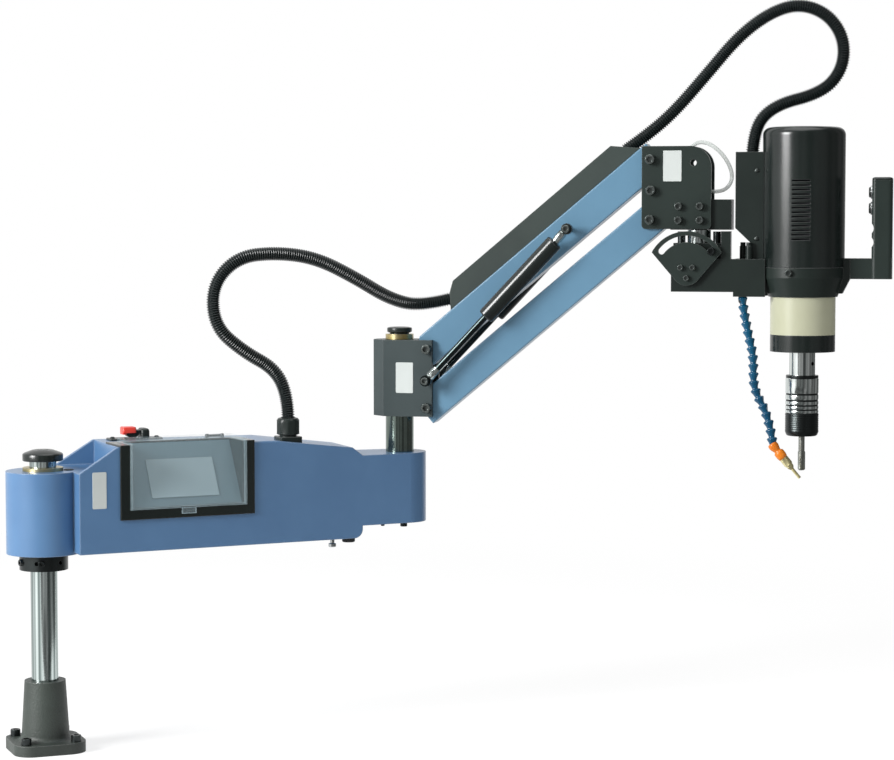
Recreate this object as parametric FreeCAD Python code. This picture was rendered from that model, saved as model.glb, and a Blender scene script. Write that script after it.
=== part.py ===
"""Arm tapping machine: a swinging box arm on a column, a lifting parallelogram arm and a tilting tapping head.

Row frame: X along the box arm, Y across it, Z up, origin at the middle of the base flange's underside.
The lifting arm is drawn in its own frame (x along the arm, y across it, z up, origin on the elbow axis) and
is then turned about the elbow.  Millimetres and degrees.
"""
import FreeCAD, Part
import os
from math import acos, asin, atan2, cos, degrees, hypot, pi, radians, sin, sqrt, tan

os.makedirs("parts", exist_ok=True)

Vec = FreeCAD.Vector
X, Y, Z = Vec(1, 0, 0), Vec(0, 1, 0), Vec(0, 0, 1)
FIT = 0.2          # radial running clearance of a shaft in its bush
GAP = 0.3          # gap between two pieces that lie against each other

# --- base and column ---------------------------------------------------------------------------------------
FLANGE_SIDE, FLANGE_CORNER, FLANGE_THICK = 108.0, 28.0, 16.0
BOSS_FOOT_R, BOSS_TOP_R, BOSS_TOP_Z, BOSS_FILLET = 36.0, 30.5, 105.0, 9.0
COLUMN_R, COLUMN_SEAT_Z, COLUMN_TOP_Z = 20.0, 6.0, 436.0
BASE_BOLT_D, BASE_BOLT_CIRCLE_R, BASE_BOLT_REACH = 10.0, 53.0, 25.0
BASE_BOLT_ROOM = 1.2                               # radial room of a flange bolt in its cored hole
COLLAR_R, COLLAR_HEIGHT = 36.0, 24.0
SPANNER_HOLE_R, SPANNER_HOLE_DEPTH, SPANNER_HOLE_COUNT = 3.0, 9.0, 6
CAP_R, CAP_HEIGHT, CAP_SOCKET, CAP_DOME_R = 30.0, 17.0, 2.0, 11.0

# --- box arm -----------------------------------------------------------------------------------------------
ARM_REACH = 568.0                                  # column axis to elbow axis
HUB_R, HUB_FOOT_Z, HUB_TOP_Z = 55.0, 296.0, 419.0
ELBOW_HUB_R, ELBOW_HUB_FOOT_Z, ELBOW_HUB_TOP_Z = 41.0, 319.0, 428.0
BOX_START, BOX_HALF_WIDTH, BOX_WALL = 36.0, 80.0, 8.0
BOX_FOOT_Z, BOX_ROOF_Z = 300.0, 456.5
ROOF_START, ROOF_END = 95.0, 341.0                 # level stretch of the roof
ROOF_SLOPE_END, ROOF_SLOPE_END_Z = 472.0, 441.0
BOX_END, FOOT_STEP_R = 489.0, 14.0
BOX_EDGE_R = 3.0
CAVITY_START, CAVITY_END, RECESS_END_WALL = 63.0, 452.0, 8.0
ELBOW_SOCKET_FLOOR = 13.0                          # metal left under the elbow shaft
BUSH_WALL, BUSH_LENGTH, BUSH_FLANGE_R, BUSH_FLANGE_THICK = 6.0, 40.0, 30.0, 5.0
COVER_PLATE_THICK, COVER_PLATE_LEDGE = 3.0, 6.0
DRIVE_LENGTH, DRIVE_HALF_WIDTH, DRIVE_HEIGHT, DRIVE_X = 120.0, 35.0, 40.0, 150.0
BUMPER_X, BUMPER_R, BUMPER_HEIGHT = 468.0, 5.5, 7.0

# --- display on the front face (x along the face, y into the box) -------------------------------------------
DISPLAY_START, DISPLAY_WIDTH, DISPLAY_FOOT_Z = 62.0, 212.0, 348.0
DISPLAY_RIM, DISPLAY_PROUD = 18.0, 3.0
DISPLAY_ROOF_DEPTH, DISPLAY_REAR_RIM = 64.0, 12.0
PANEL_THICK, SCREEN_WIDTH, SCREEN_HEIGHT, SCREEN_THICK = 3.0, 106.0, 63.0, 2.0
SCREEN_SHIFT, SCREEN_RISE = -1.0, 13.0             # from the middle of the panel, and up from its foot
PANE, LID_DEPTH, LID_OVERLAP = 2.5, 6.0, 3.0
LATCH_WIDTH, LATCH_DROP = 22.0, 9.0
CHEEK_WALL = 2.0                                   # side walls of the display's recess
LID_PIN_R, KNUCKLE_R, KNUCKLE_LENGTH, EAR_THICK = 2.0, 3.0, 20.0, 4.0
KNUCKLE_INSET, KNUCKLE_SET_BACK, KNUCKLE_RISE = 13.0, 3.6, 3.3

# --- switch and hose gland on the roof ----------------------------------------------------------------------
SWITCH_X, SWITCH_Y = 152.0, 44.0
SWITCH_PLATE_LENGTH, SWITCH_PLATE_WIDTH, SWITCH_PLATE_THICK = 82.0, 30.0, 3.0
SWITCH_BOX_LENGTH, SWITCH_BOX_WIDTH, SWITCH_BOX_HEIGHT = 44.0, 26.0, 15.0
ROCKER_LENGTH, ROCKER_WIDTH, ROCKER_PIVOT_R, ROCKER_TILT = 28.0, 18.0, 3.0, 10.0
ROCKER_SHIFT, ROCKER_DROP, ROCKER_HORN, ROCKER_SADDLE, ROCKER_BELLY = -5.0, 3.0, 6.0, 3.0, 5.0
ROCKER_ROOM = 1.2                                  # room around the rocker in its pocket
GLAND_X, GLAND_Y, GLAND_TOP_Z = 375.0, -26.0, 486.0
GLAND_NUT_FLATS, GLAND_NUT_HEIGHT, GLAND_PLATE_SIDE, GLAND_PLATE_THICK = 31.0, 14.0, 36.0, 6.0
GLAND_DOME_R, GLAND_MOUTH_R = 15.5, 12.5

# --- elbow shaft and pivot block ----------------------------------------------------------------------------
SHAFT_R, SHAFT_END_R = 22.0, 14.0
SHAFT_NUT_R, SHAFT_NUT_THICK = 22.0, 8.0
SHAFT_CAP_R, SHAFT_CAP_THICK = 19.5, 11.0
REST_TURN = -34.0                                  # lifting arm from the box arm, about the elbow
BLOCK_FOOT_Z, BLOCK_TOP_Z, BLOCK_ROOF = 485.0, 604.0, 9.0
BLOCK_BACK, BLOCK_FRONT, BLOCK_HALF, BLOCK_CHAMFER = -39.5, 58.0, 30.0, 20.0
FORK_START, FORK_HALF = 31.0, 20.0
BLOCK_BUSH_WALL, BLOCK_BUSH_LENGTH = 4.0, 30.0

# --- parallelogram ------------------------------------------------------------------------------------------
LINK_LENGTH, LINK_RISE, LINK_SPACING = 453.0, 40.1, 91.0
PIVOT_X, UPPER_PIVOT_Z = 50.2, 590.0
PIVOT_BOLT_D = 10.0
BAR_DEPTH, BAR_HALF, BAR_END, BAR_BEVEL, BAR_EDGE_R = 48.0, 19.5, 10.0, 12.0, 2.0
DUCT_START, DUCT_END, DUCT_HEIGHT, DUCT_HALF, DUCT_WALL = 66.5, 452.0, 32.5, 17.0, 1.5
DUCT_MOUTH_RUN, DUCT_MOUTH_RISE, DUCT_SHOULDER_RUN = 16.5, 22.0, 15.0
DUCT_TAIL_RUN = 33.0

# --- gas springs --------------------------------------------------------------------------------------------
SPRING_FOOT_X, SPRING_FOOT_DROP = 52.0, 48.0       # foot pin, below the upper pivot
SPRING_HEAD = 290.0                                # head pin, along the upper bar from its rear pivot
SPRING_OFFSET = 44.5                               # spring axis from the arm's middle plane
BARREL_R, BARREL_BORE_R, BARREL_START, BARREL_END = 13.0, 10.5, 27.0, 184.0
ROD_R, ROD_REACH, EYE_R, EYE_HALF, EYE_NECK_R = 5.0, 232.0, 8.5, 5.0, 5.5
EYE_NECK = 27.0
STUD_D = 8.0

# --- head bracket (the head is drawn where the links hold it, and moves with their front pivot) -------------
HEAD_PIVOT_X, HEAD_PIVOT_Z = 396.709, 881.788      # front upper pivot in the head's own drawing
PLATE_THICK, PLATE_BACK, PLATE_FRONT, PLATE_BELOW, PLATE_ABOVE = 6.0, 13.0, 92.5, 14.0, 20.5
PLATE_TOP_R, PLATE_CORNER_R, PLATE_EYE_R = 32.0, 6.0, 5.0
HEAD_BLOCK_START, HEAD_BLOCK_END, HEAD_BLOCK_HEIGHT = 427.0, 519.5, 46.0
HEAD_SCREW_D, HEAD_SCREW_GRIP, STOP_BOLT_X, STOP_BOLT_DROP = 8.0, 6.0, 1.3, 46.8
HEAD_SCREW_XS, HEAD_SCREW_RISES = (440.0, 472.5), (14.4, 35.4)  # rises from the head block's foot
PLATE_EYE_X, PLATE_EYE_Z = 462.0, 877.0
HEAD_BLOCK_DROP = 1.2                              # head block below the plates' lower edge
SWIVEL_X, SWIVEL_POST_R, SWIVEL_FLANGE_R, SWIVEL_POST_ROOT = 469.0, 12.0, 18.0, 14.0
POST_NUT_R, POST_NUT_THICK = 17.0, 8.0
STOP_SCREW_REACH, STOP_SCREW_R, STOP_SCREW_HEIGHT = 27.0, 6.0, 17.5
SWIVEL_BLOCK_SIDE, SWIVEL_BLOCK_TOP_Z, SWIVEL_BLOCK_FOOT_Z = 75.0, 755.5, 682.0
SWIVEL_BLOCK_FAR, SWIVEL_BLOCK_NEAR = 38.0, 18.0

# --- tilting head -------------------------------------------------------------------------------------------
TILT_X, TILT_Z, TILT_PIN_R = 454.5, 713.5, 14.0
CHEEK_THICK, CHEEK_TOP_Z, CHEEK_START = 16.0, 731.8, 430.0
PIN_NUT_R, PIN_NUT_THICK = 20.0, 8.0
LOCK_BOLT_X, LOCK_BOLT_Z, LOCK_BOLT_D, LOCK_SPACER_R, LOCK_BOLT_GRIP = 37.5, 29.7, 8.0, 7.0, 14.0
FOOT_START, FOOT_END, FOOT_FOOT_Z = 524.0, 572.0, 675.0
LUG_START, LUG_WIDTH, LUG_TOP_Z = 505.5, 14.5, 773.5
SECTOR_R, SECTOR_SLOT_R, SECTOR_SLOT_HALF, SECTOR_THICK = 60.0, 48.5, 5.0, 8.0
SECTOR_FROM, SECTOR_TO, SECTOR_FOOT_R = 38.0, 142.0, 22.0
SECTOR_MARGIN = 10.0                               # degrees of plate past each end of the slot
SECTOR_SCREW_D, SECTOR_SCREW_R, SECTOR_SCREW_LENGTH = 6.0, 10.5, 20.0
SECTOR_SCREW_TURNS = (150, 30, 270)
MOTOR_X = 626.5
MOTOR_R, MOTOR_WALL, MOTOR_TOP_Z, MOTOR_TOP_R = 62.0, 2.0, 930.0, 12.0
CLAMP_TOP_Z, CLAMP_STEP_Z, CLAMP_FOOT_Z, CLAMP_FOOT_R = 719.0, 704.0, 675.0, 52.0
CLAMP_SCREW_D, CLAMP_SCREW_X, CLAMP_SCREW_LENGTH = 7.0, -17.5, 14.0
CORE_R, SLEEVE_R, SLEEVE_LENGTH, SLEEVE_SET_OFF, GEARBOX_LIP = 40.0, 49.0, 57.0, 0.3, 25.7
SERVO_SIDE, SERVO_TOP_DROP = 80.0, 50.0            # servo top below the cover's top
VENT_PITCH, VENT_WIDTH, VENT_HEIGHT = 6.7, 27.0, 2.6
VENT_DROP, VENT_CLEAR = 81.0, 42.0                 # first vent below the top, last one above the clamp
SIDE_COVER_START, SIDE_COVER_TOP_Z, SIDE_COVER_HALF, SIDE_COVER_WALL = 525.5, 893.0, 22.0, 2.0
SIDE_COVER_WAIST, SIDE_COVER_WAIST_Z, SIDE_COVER_SLOPE_Z = 549.2, 755.7, 778.4
HANDLE_START, HANDLE_FOOT_Z, HANDLE_ARM_TOP_Z, HANDLE_ARM_HALF = 697.0, 702.0, 733.0, 13.0
HANDLE_LUG_FOOT_Z, HANDLE_LUG_FOOT_X = 680.0, 686.0
GRIP_START, GRIP_WIDTH, GRIP_TOP_Z, GRIP_HALF = 728.5, 30.5, 850.0, 15.0
GRIP_EDGE_R, GROOVE_R, GROOVE_DEPTH, GROOVE_ZS = 6.0, 10.0, 3.0, (778.0, 757.0)
BUTTON_ZS, BUTTON_R, BUTTON_PROUD, BUTTON_TRAVEL, BUTTON_ROOT = (832.0, 808.0), 8.0, 5.0, 3.0, 7.0
FITTING_R, FITTING_HEIGHT, FITTING_PLACES = 5.0, 25.0, ((535.5, 0.0), (547.0, -28.0))

# --- spindle ------------------------------------------------------------------------------------------------
SPINDLE_R, SPINDLE_STANDOUT, SPINDLE_JOURNAL_R, SPINDLE_REACH = 19.5, 36.0, 12.0, 53.0
SET_SCREW_HOLE_R, SET_SCREW_TURN = 3.0, -34.0
CHUCK_R, CHUCK_BODY_HEIGHT, CHUCK_RING_HEIGHT, CHUCK_NOSE_R = 25.3, 58.0, 34.0, 13.0
CHUCK_GROOVE_COUNT, CHUCK_GROOVE_PITCH, CHUCK_GROOVE_WIDTH, CHUCK_GROOVE_DEPTH = 4, 7.0, 3.5, 2.0
TAP_R, TAP_STANDOUT, TAP_SHANK_R, TAP_THREAD, TAP_GRIP = 5.0, 53.0, 4.4, 30.0, 20.0
TAP_FLUTE_R, TAP_POINT = 1.6, 3.0

# --- coolant hose -------------------------------------------------------------------------------------------
SEGMENT_R, SEGMENT_NECK_R, SEGMENT_PITCH = 7.0, 4.5, 13.0
COOLANT_ROUTE = [                                  # in the lifting arm's frame
    (535, 0, 662), (536, -3, 625), (548, -11, 560), (569, -21, 500), (585, -29, 446)]
COOLANT_BALL_R = 6.0                               # ball of the fitting that the first segment turns on
NOZZLE_TIP, NOZZLE_ROOT_R, NOZZLE_TIP_R = (620, -29, 404), 6.5, 2.0
NOZZLE_BALL_R, NOZZLE_SET_OFF = 3.0, 1.3           # turned end in the last segment's cup

# --- corrugated hoses and air tube: routes kept as chosen points --------------------------------------------
HOSE_R, AIR_TUBE_R = 10.5, 3.0
ARM_HOSE = [
    (GLAND_X, GLAND_Y, GLAND_TOP_Z), (GLAND_X, GLAND_Y, 516), (357, -27, 562), (304, -28, 591),
    (258, -29, 630), (254, -30, 692), (294, -30, 735), (358, -29, 741), (422, -27, 732), (486, -25, 701),
    (543, -22, 668), (592, -27, 656), (636, -45.9, 668)]
HEAD_HOSE = [                                      # in the lifting arm's frame
    (356, 0, 897), (389, 0, 920), (430, 0, 955), (478, 0, 1010), (527, 0, 1068), (575, 0, 1103),
    (619, 0, 1115), (661, 0, 1098), (685, 0, 1060), (682, 0, 1015), (652, 0, 981), (579, 0, 963),
    (549, 0, 926), (548.5, 0, 878)]
AIR_TUBE = [                                       # in the lifting arm's frame
    (446, 4, 886), (456, 4, 906), (478, 4, 910), (502, 4, 893), (518, 4, 866), (517, 4, 845), (501, 4, 832),
    (480, 4, 834)]
ARM_HOSE_RUN_COUNTS, HEAD_HOSE_RUN_COUNTS = (9,), (2, 7)  # whole runs before each divided one

# --- places worked out from the sizes -----------------------------------------------------------------------
TAPER = degrees(atan2(BOX_HALF_WIDTH, ARM_REACH - BOX_START)
                - asin(ELBOW_HUB_R / hypot(ARM_REACH - BOX_START, BOX_HALF_WIDTH)))
ELBOW = FreeCAD.Placement(Vec(ARM_REACH, 0, 0), FreeCAD.Rotation(Z, REST_TURN))
FACE = FreeCAD.Placement(Vec(BOX_START, -BOX_HALF_WIDTH, 0), FreeCAD.Rotation(Z, TAPER))
LOWER_PIVOT_Z = UPPER_PIVOT_Z - LINK_SPACING
FRONT_PIVOT_X = PIVOT_X + LINK_LENGTH * cos(radians(LINK_RISE))
FRONT_PIVOT_Z = UPPER_PIVOT_Z + LINK_LENGTH * sin(radians(LINK_RISE))
SPRING_FOOT = Vec(SPRING_FOOT_X, 0, UPPER_PIVOT_Z - SPRING_FOOT_DROP)
SPRING_TOP = Vec(PIVOT_X + SPRING_HEAD * cos(radians(LINK_RISE)), 0,
                 UPPER_PIVOT_Z + SPRING_HEAD * sin(radians(LINK_RISE)))
HEAD = FreeCAD.Placement(Vec(FRONT_PIVOT_X - HEAD_PIVOT_X, 0, FRONT_PIVOT_Z - HEAD_PIVOT_Z),
                         FreeCAD.Rotation())
PLATE_FOOT_Z = HEAD_PIVOT_Z - LINK_SPACING - PLATE_BELOW
PLATE_HALF = FORK_HALF + PLATE_THICK
HEAD_BLOCK_FOOT_Z = PLATE_FOOT_Z - HEAD_BLOCK_DROP
CHEEK_BACK_Y = -SWIVEL_BLOCK_NEAR - GAP
CHEEK_FACE_Y = CHEEK_BACK_Y - CHEEK_THICK
SECTOR_FACE_Y = CHEEK_FACE_Y - SECTOR_THICK
SERVO_TOP_Z, VENT_TOP_Z = MOTOR_TOP_Z - SERVO_TOP_DROP, MOTOR_TOP_Z - VENT_DROP
VENT_COUNT = 1 + int((VENT_TOP_Z - CLAMP_TOP_Z - VENT_CLEAR) / VENT_PITCH)
SLEEVE_TOP_Z = CLAMP_FOOT_Z - SLEEVE_SET_OFF
SLEEVE_FOOT_Z = SLEEVE_TOP_Z - SLEEVE_LENGTH
GEARBOX_FOOT_Z = SLEEVE_FOOT_Z - GEARBOX_LIP
SPINDLE_FOOT_Z = GEARBOX_FOOT_Z - SPINDLE_STANDOUT
CHUCK_RING_Z = SPINDLE_FOOT_Z - CHUCK_BODY_HEIGHT
CHUCK_FOOT_Z = CHUCK_RING_Z - CHUCK_RING_HEIGHT
TAP_FOOT_Z = CHUCK_FOOT_Z - TAP_STANDOUT
COLLAR_TOP_Z = HUB_FOOT_Z - GAP
SHAFT_SOCKET_R = SHAFT_R + FIT + BLOCK_BUSH_WALL
LINK_SLOPE = radians(LINK_RISE)
STOP_SLEEVE_R = (STOP_BOLT_DROP * cos(LINK_SLOPE) + STOP_BOLT_X * sin(LINK_SLOPE)) - BAR_DEPTH / 2 - GAP


# --- ways of making shapes ----------------------------------------------------------------------------------
def block(x0, x1, y0, y1, z0, z1):
    """A box between two corners."""
    return Part.makeBox(x1 - x0, y1 - y0, z1 - z0, Vec(x0, y0, z0))


def rod(radius, length, at, along=Z):
    """A cylinder from a point along a direction."""
    return Part.makeCylinder(radius, length, at, along)


def ring(outer, inner, length, at, along=Z):
    """A cylinder with a hole through it."""
    return rod(outer, length, at, along).cut(rod(inner, length, at, along))


def flat(points, place):
    """A flat face through 2-D points, each put in space by place(u, v)."""
    return Part.Face(Part.makePolygon([place(u, v) for u, v in points + points[:1]]))


def side_slab(points, y0, y1):
    """An outline of (x, z) points, as thick as from y0 to y1."""
    return flat(points, lambda x, z: Vec(x, y0, z)).extrude(Vec(0, y1 - y0, 0))


def plan_slab(points, z0, z1):
    """An outline of (x, y) points, as high as from z0 to z1."""
    return flat(points, lambda x, y: Vec(x, y, z0)).extrude(Vec(0, 0, z1 - z0))


def turned(profile, at=Vec(0, 0, 0), along=Z):
    """A profile of (radius, height) points turned about an axis."""
    solid = flat(profile, lambda r, h: Vec(r, 0, h)).revolve(Vec(0, 0, 0), Z, 360)
    solid.Placement = FreeCAD.Placement(at, FreeCAD.Rotation(Z, along))
    return solid


def hexagon(flats, height, at, along=Z):
    """A hexagonal prism from a point along a direction."""
    corner = flats / sqrt(3)
    points = [(corner * cos(pi * k / 3), corner * sin(pi * k / 3)) for k in range(6)]
    solid = plan_slab(points, 0, height)
    solid.Placement = FreeCAD.Placement(at, FreeCAD.Rotation(Z, along))
    return solid


def runs(edge, direction):
    """Whether an edge is straight and lies along a direction."""
    if edge.Curve.TypeId != "Part::GeomLine":
        return False
    return abs(edge.tangentAt(edge.FirstParameter).dot(direction)) > 0.9999


def middle(edge):
    """The point half way along an edge."""
    return edge.valueAt((edge.FirstParameter + edge.LastParameter) / 2)


def rounded(solid, radius, chosen):
    """A solid with the chosen edges rounded."""
    return solid.makeFillet(radius, [edge for edge in solid.Edges if chosen(edge)])


def framed(frame, shape):
    """A shape drawn in a frame, put where the frame stands."""
    put = shape.copy()
    put.Placement = frame.multiply(shape.Placement)
    return put


def on_arm(shape):
    """A shape drawn in the lifting arm's frame, put on the machine."""
    return framed(ELBOW, shape)


def on_head(shape):
    """A shape drawn with the head, put where the links hold it."""
    return on_arm(framed(HEAD, shape))


def on_link(shape, drop=0.0):
    """A shape drawn along a link from its rear pivot, put on the machine."""
    frame = FreeCAD.Placement(Vec(PIVOT_X, 0, UPPER_PIVOT_Z - drop), FreeCAD.Rotation(Y, -LINK_RISE))
    return on_arm(framed(frame, shape))


def cap_screw(size, length, at, along):
    """A socket-head cap screw, its head seated at a point and its shank along a direction."""
    head_r, socket = 0.75 * size, 0.5 * size
    screw = turned([(0, -size), (head_r - 0.08 * size, -size), (head_r, -0.9 * size), (head_r, 0),
                    (size / 2, 0), (size / 2, length), (0, length)])
    screw = screw.cut(hexagon(0.8 * size, socket, Vec(0, 0, -size)))
    screw.Placement = FreeCAD.Placement(at, FreeCAD.Rotation(Z, along))
    return screw


def through_bolt(size, half, x, z):
    """A cap screw across the arm with its head on the near side, and its nut on the far side."""
    screw = cap_screw(size, 2 * half + size, Vec(x, -half, z), Y)
    nut = hexagon(1.6 * size, 0.8 * size, Vec(x, half, z), Y).cut(rod(size / 2, size, Vec(x, half, z), Y))
    return screw, nut


def both_sides(make):
    """Two pieces, one on each side of the arm's middle plane: make(side) with side -1 and 1."""
    return [make(side) for side in (-1, 1)]


def save(node, *solids):
    """Write one sub-part's STEP file."""
    for solid in solids:
        if solid.Volume < 0:
            solid.reverse()
    shape = solids[0] if len(solids) == 1 else Part.makeCompound(list(solids))
    shape.exportStep("parts/" + node + ".step")
    verdict = "ok" if shape.isValid() else "NOT VALID"
    print(node, len(shape.Solids), round(shape.Volume / 1000, 2), "cm3", verdict)


# --- cords --------------------------------------------------------------------------------------------------
def corner_arcs(points):
    """Each corner's arc as (start, middle, end, radius): as large as its two runs allow."""
    arcs = []
    for before, corner, after in zip(points, points[1:], points[2:]):
        arriving, leaving = corner - before, after - corner
        setback = 0.45 * min(arriving.Length, leaving.Length)
        half_turn = arriving.getAngle(leaving) / 2
        radius = setback / tan(half_turn)
        arriving.normalize()
        leaving.normalize()
        inwards = leaving - arriving
        inwards.normalize()
        bulge = radius / cos(half_turn) - radius
        arcs.append((corner - arriving * setback, corner + inwards * bulge, corner + leaving * setback, radius))
    return arcs


def cord_tubes(name, route, radius, splits=()):
    """A cord's tube along straight runs and tangent arcs, divided half way along the runs that splits names."""
    points = [Vec(*point) for point in route]
    arcs = corner_arcs(points)
    print(name, "radii", [round(arc[3]) for arc in arcs])
    sections, edges, at = [], [], points[0]
    for number, far in enumerate(points[1:]):
        run_end = arcs[number][0] if number < len(arcs) else far
        if number in splits:
            half_way = (points[number] + far) * 0.5
            edges.append(Part.LineSegment(at, half_way).toShape())
            sections.append(edges)
            edges, at = [], half_way
        edges.append(Part.LineSegment(at, run_end).toShape())
        if number < len(arcs):
            start, bulge, end, _ = arcs[number]
            edges.append(Part.Arc(start, bulge, end).toShape())
            at = end
    sections.append(edges)
    tubes = []
    for section in sections:
        first = section[0]
        heading = first.tangentAt(first.FirstParameter)
        hoop = Part.Wire(Part.makeCircle(radius, first.valueAt(first.FirstParameter), heading))
        path = Part.Wire(section)
        swept = path.makePipeShell([hoop], True, False)
        by_volume = swept.Volume / (pi * radius**2)
        print(name, "length", round(path.Length, 1), "length by volume", round(by_volume, 1))
        tubes.append(swept)
    return tubes


# --- base and column ----------------------------------------------------------------------------------------
def flange_bolt_places():
    """The four bolts' places in plan."""
    reach = BASE_BOLT_CIRCLE_R / sqrt(2)
    return [(sx * reach, sy * reach) for sx in (-1, 1) for sy in (-1, 1)]


def make_base():
    """Square flange with a tapered boss that grips the column."""
    half = FLANGE_SIDE / 2
    plate = block(-half, half, -half, half, 0, FLANGE_THICK)
    plate = rounded(plate, FLANGE_CORNER, lambda edge: runs(edge, Z))
    boss = Part.makeCone(BOSS_FOOT_R, BOSS_TOP_R, BOSS_TOP_Z - FLANGE_THICK, Vec(0, 0, FLANGE_THICK))
    body = plate.fuse(boss)
    body = rounded(body, BOSS_FILLET, lambda edge: edge.Length < 2.1 * pi * BOSS_FOOT_R
                   and abs(middle(edge).z - FLANGE_THICK) < 0.01
                   and abs(hypot(middle(edge).x, middle(edge).y) - BOSS_FOOT_R) < 0.01)
    body = body.cut(rod(COLUMN_R, BOSS_TOP_Z, Vec(0, 0, COLUMN_SEAT_Z)))
    for x, y in flange_bolt_places():
        body = body.cut(rod(BASE_BOLT_D / 2 + BASE_BOLT_ROOM, FLANGE_THICK, Vec(x, y, 0)))
    save("base_flange", body)
    save("base_bolts", *[cap_screw(BASE_BOLT_D, FLANGE_THICK + BASE_BOLT_REACH, Vec(x, y, FLANGE_THICK), -Z)
                         for x, y in flange_bolt_places()])
    save("column", rod(COLUMN_R, COLUMN_TOP_Z - COLUMN_SEAT_Z, Vec(0, 0, COLUMN_SEAT_Z)))


def make_collar_and_cap():
    """The clamped collar that carries the arm, and the mushroom cap on the column."""
    foot = COLLAR_TOP_Z - COLLAR_HEIGHT
    collar = ring(COLLAR_R, COLUMN_R, COLLAR_HEIGHT, Vec(0, 0, foot))
    for k in range(SPANNER_HOLE_COUNT):
        turn = 2 * pi * k / SPANNER_HOLE_COUNT
        outwards = Vec(cos(turn), sin(turn), 0)
        start = outwards * (COLLAR_R - SPANNER_HOLE_DEPTH) + Vec(0, 0, foot + COLLAR_HEIGHT / 2)
        collar = collar.cut(rod(SPANNER_HOLE_R, SPANNER_HOLE_DEPTH + 1, start, outwards))
    save("stop_collar", collar)
    cap_foot = COLUMN_TOP_Z - CAP_SOCKET
    cap = rod(CAP_R, CAP_HEIGHT, Vec(0, 0, cap_foot))
    cap = rounded(cap, CAP_DOME_R, lambda edge: abs(middle(edge).z - cap_foot - CAP_HEIGHT) < 0.01)
    save("column_cap", cap.cut(rod(COLUMN_R, CAP_SOCKET, Vec(0, 0, cap_foot))))


# --- box arm ------------------------------------------------------------------------------------------------
def box_half(x, inset):
    """Half the box's width at x, drawn in by an inset."""
    return BOX_HALF_WIDTH - (x - BOX_START) * tan(radians(TAPER)) - inset / cos(radians(TAPER))


def box_plan(x0, x1, inset, z0, z1):
    """The box's tapering plan between two stations."""
    near, far = box_half(x0, inset), box_half(x1, inset)
    return plan_slab([(x0, -near), (x1, -far), (x1, far), (x0, near)], z0, z1)


def roof_z(x):
    """Height of the roof at x."""
    share = min(max((x - ROOF_END) / (ROOF_SLOPE_END - ROOF_END), 0), 1)
    return BOX_ROOF_Z + share * (ROOF_SLOPE_END_Z - BOX_ROOF_Z)


def box_shell():
    """Outside of the box arm: tapering walls, sloping roof, hubs at both ends and the recess at the column."""
    tangent_x = ARM_REACH + ELBOW_HUB_R * sin(radians(TAPER))
    profile = [(BOX_START, BOX_FOOT_Z), (BOX_START, HUB_TOP_Z), (ROOF_START, BOX_ROOF_Z),
               (ROOF_END, BOX_ROOF_Z), (ROOF_SLOPE_END, ROOF_SLOPE_END_Z), (BOX_END, ELBOW_HUB_TOP_Z),
               (tangent_x, ELBOW_HUB_TOP_Z),
               (tangent_x, ELBOW_HUB_FOOT_Z), (BOX_END, ELBOW_HUB_FOOT_Z), (BOX_END, BOX_FOOT_Z)]
    box = box_plan(BOX_START, tangent_x, 0, BOX_FOOT_Z, BOX_ROOF_Z)
    box = box.common(side_slab(profile, -BOX_HALF_WIDTH, BOX_HALF_WIDTH))
    box = rounded(box, FOOT_STEP_R, lambda edge: runs(edge, Y) and abs(middle(edge).x - BOX_END) < 0.01
                  and abs(middle(edge).z - BOX_FOOT_Z) < 0.01)
    taper = radians(TAPER)
    walls = [Vec(cos(taper), sin(taper), 0), Vec(cos(taper), -sin(taper), 0)]
    box = rounded(box, BOX_EDGE_R, lambda edge: any(runs(edge, wall) for wall in walls)
                  and abs(middle(edge).z - BOX_ROOF_Z) < 0.01)
    recess = box_plan(BOX_START - 1, ROOF_START, BOX_WALL, HUB_TOP_Z, BOX_ROOF_Z + 1)
    hubs = rod(HUB_R, HUB_TOP_Z - HUB_FOOT_Z, Vec(0, 0, HUB_FOOT_Z)).fuse(
        rod(ELBOW_HUB_R, ELBOW_HUB_TOP_Z - ELBOW_HUB_FOOT_Z, Vec(ARM_REACH, 0, ELBOW_HUB_FOOT_Z)))
    return box.cut(recess).fuse(hubs)


def wedge(offset, x0, x1):
    """The display's wedge-shaped recess, with its sloping floor moved into the box by an offset."""
    foot, top = DISPLAY_FOOT_Z + DISPLAY_RIM, BOX_ROOF_Z + 1
    depth = DISPLAY_ROOF_DEPTH - DISPLAY_REAR_RIM
    slope = depth / (BOX_ROOF_Z - foot)
    shift = offset * hypot(1, slope)
    corners = [(-1, foot - (shift + 1) / slope), (shift + slope * (top - foot), top), (-1, top)]
    face = flat(corners, lambda y, z: Vec(x0, y, z))
    return face.extrude(Vec(x1 - x0, 0, 0))


def display_span(margin):
    """The display opening's two ends along the face, drawn in by a margin."""
    return DISPLAY_START + DISPLAY_RIM + margin, DISPLAY_START + DISPLAY_WIDTH - DISPLAY_RIM - margin


def cover_plate_room(inset):
    """The sunk seat of the bottom cover, and with an inset the cover itself."""
    ledge = COVER_PLATE_LEDGE - inset
    return box_plan(CAVITY_START - ledge, CAVITY_END + ledge, BOX_WALL - ledge, BOX_FOOT_Z,
                    BOX_FOOT_Z + COVER_PLATE_THICK)


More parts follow.
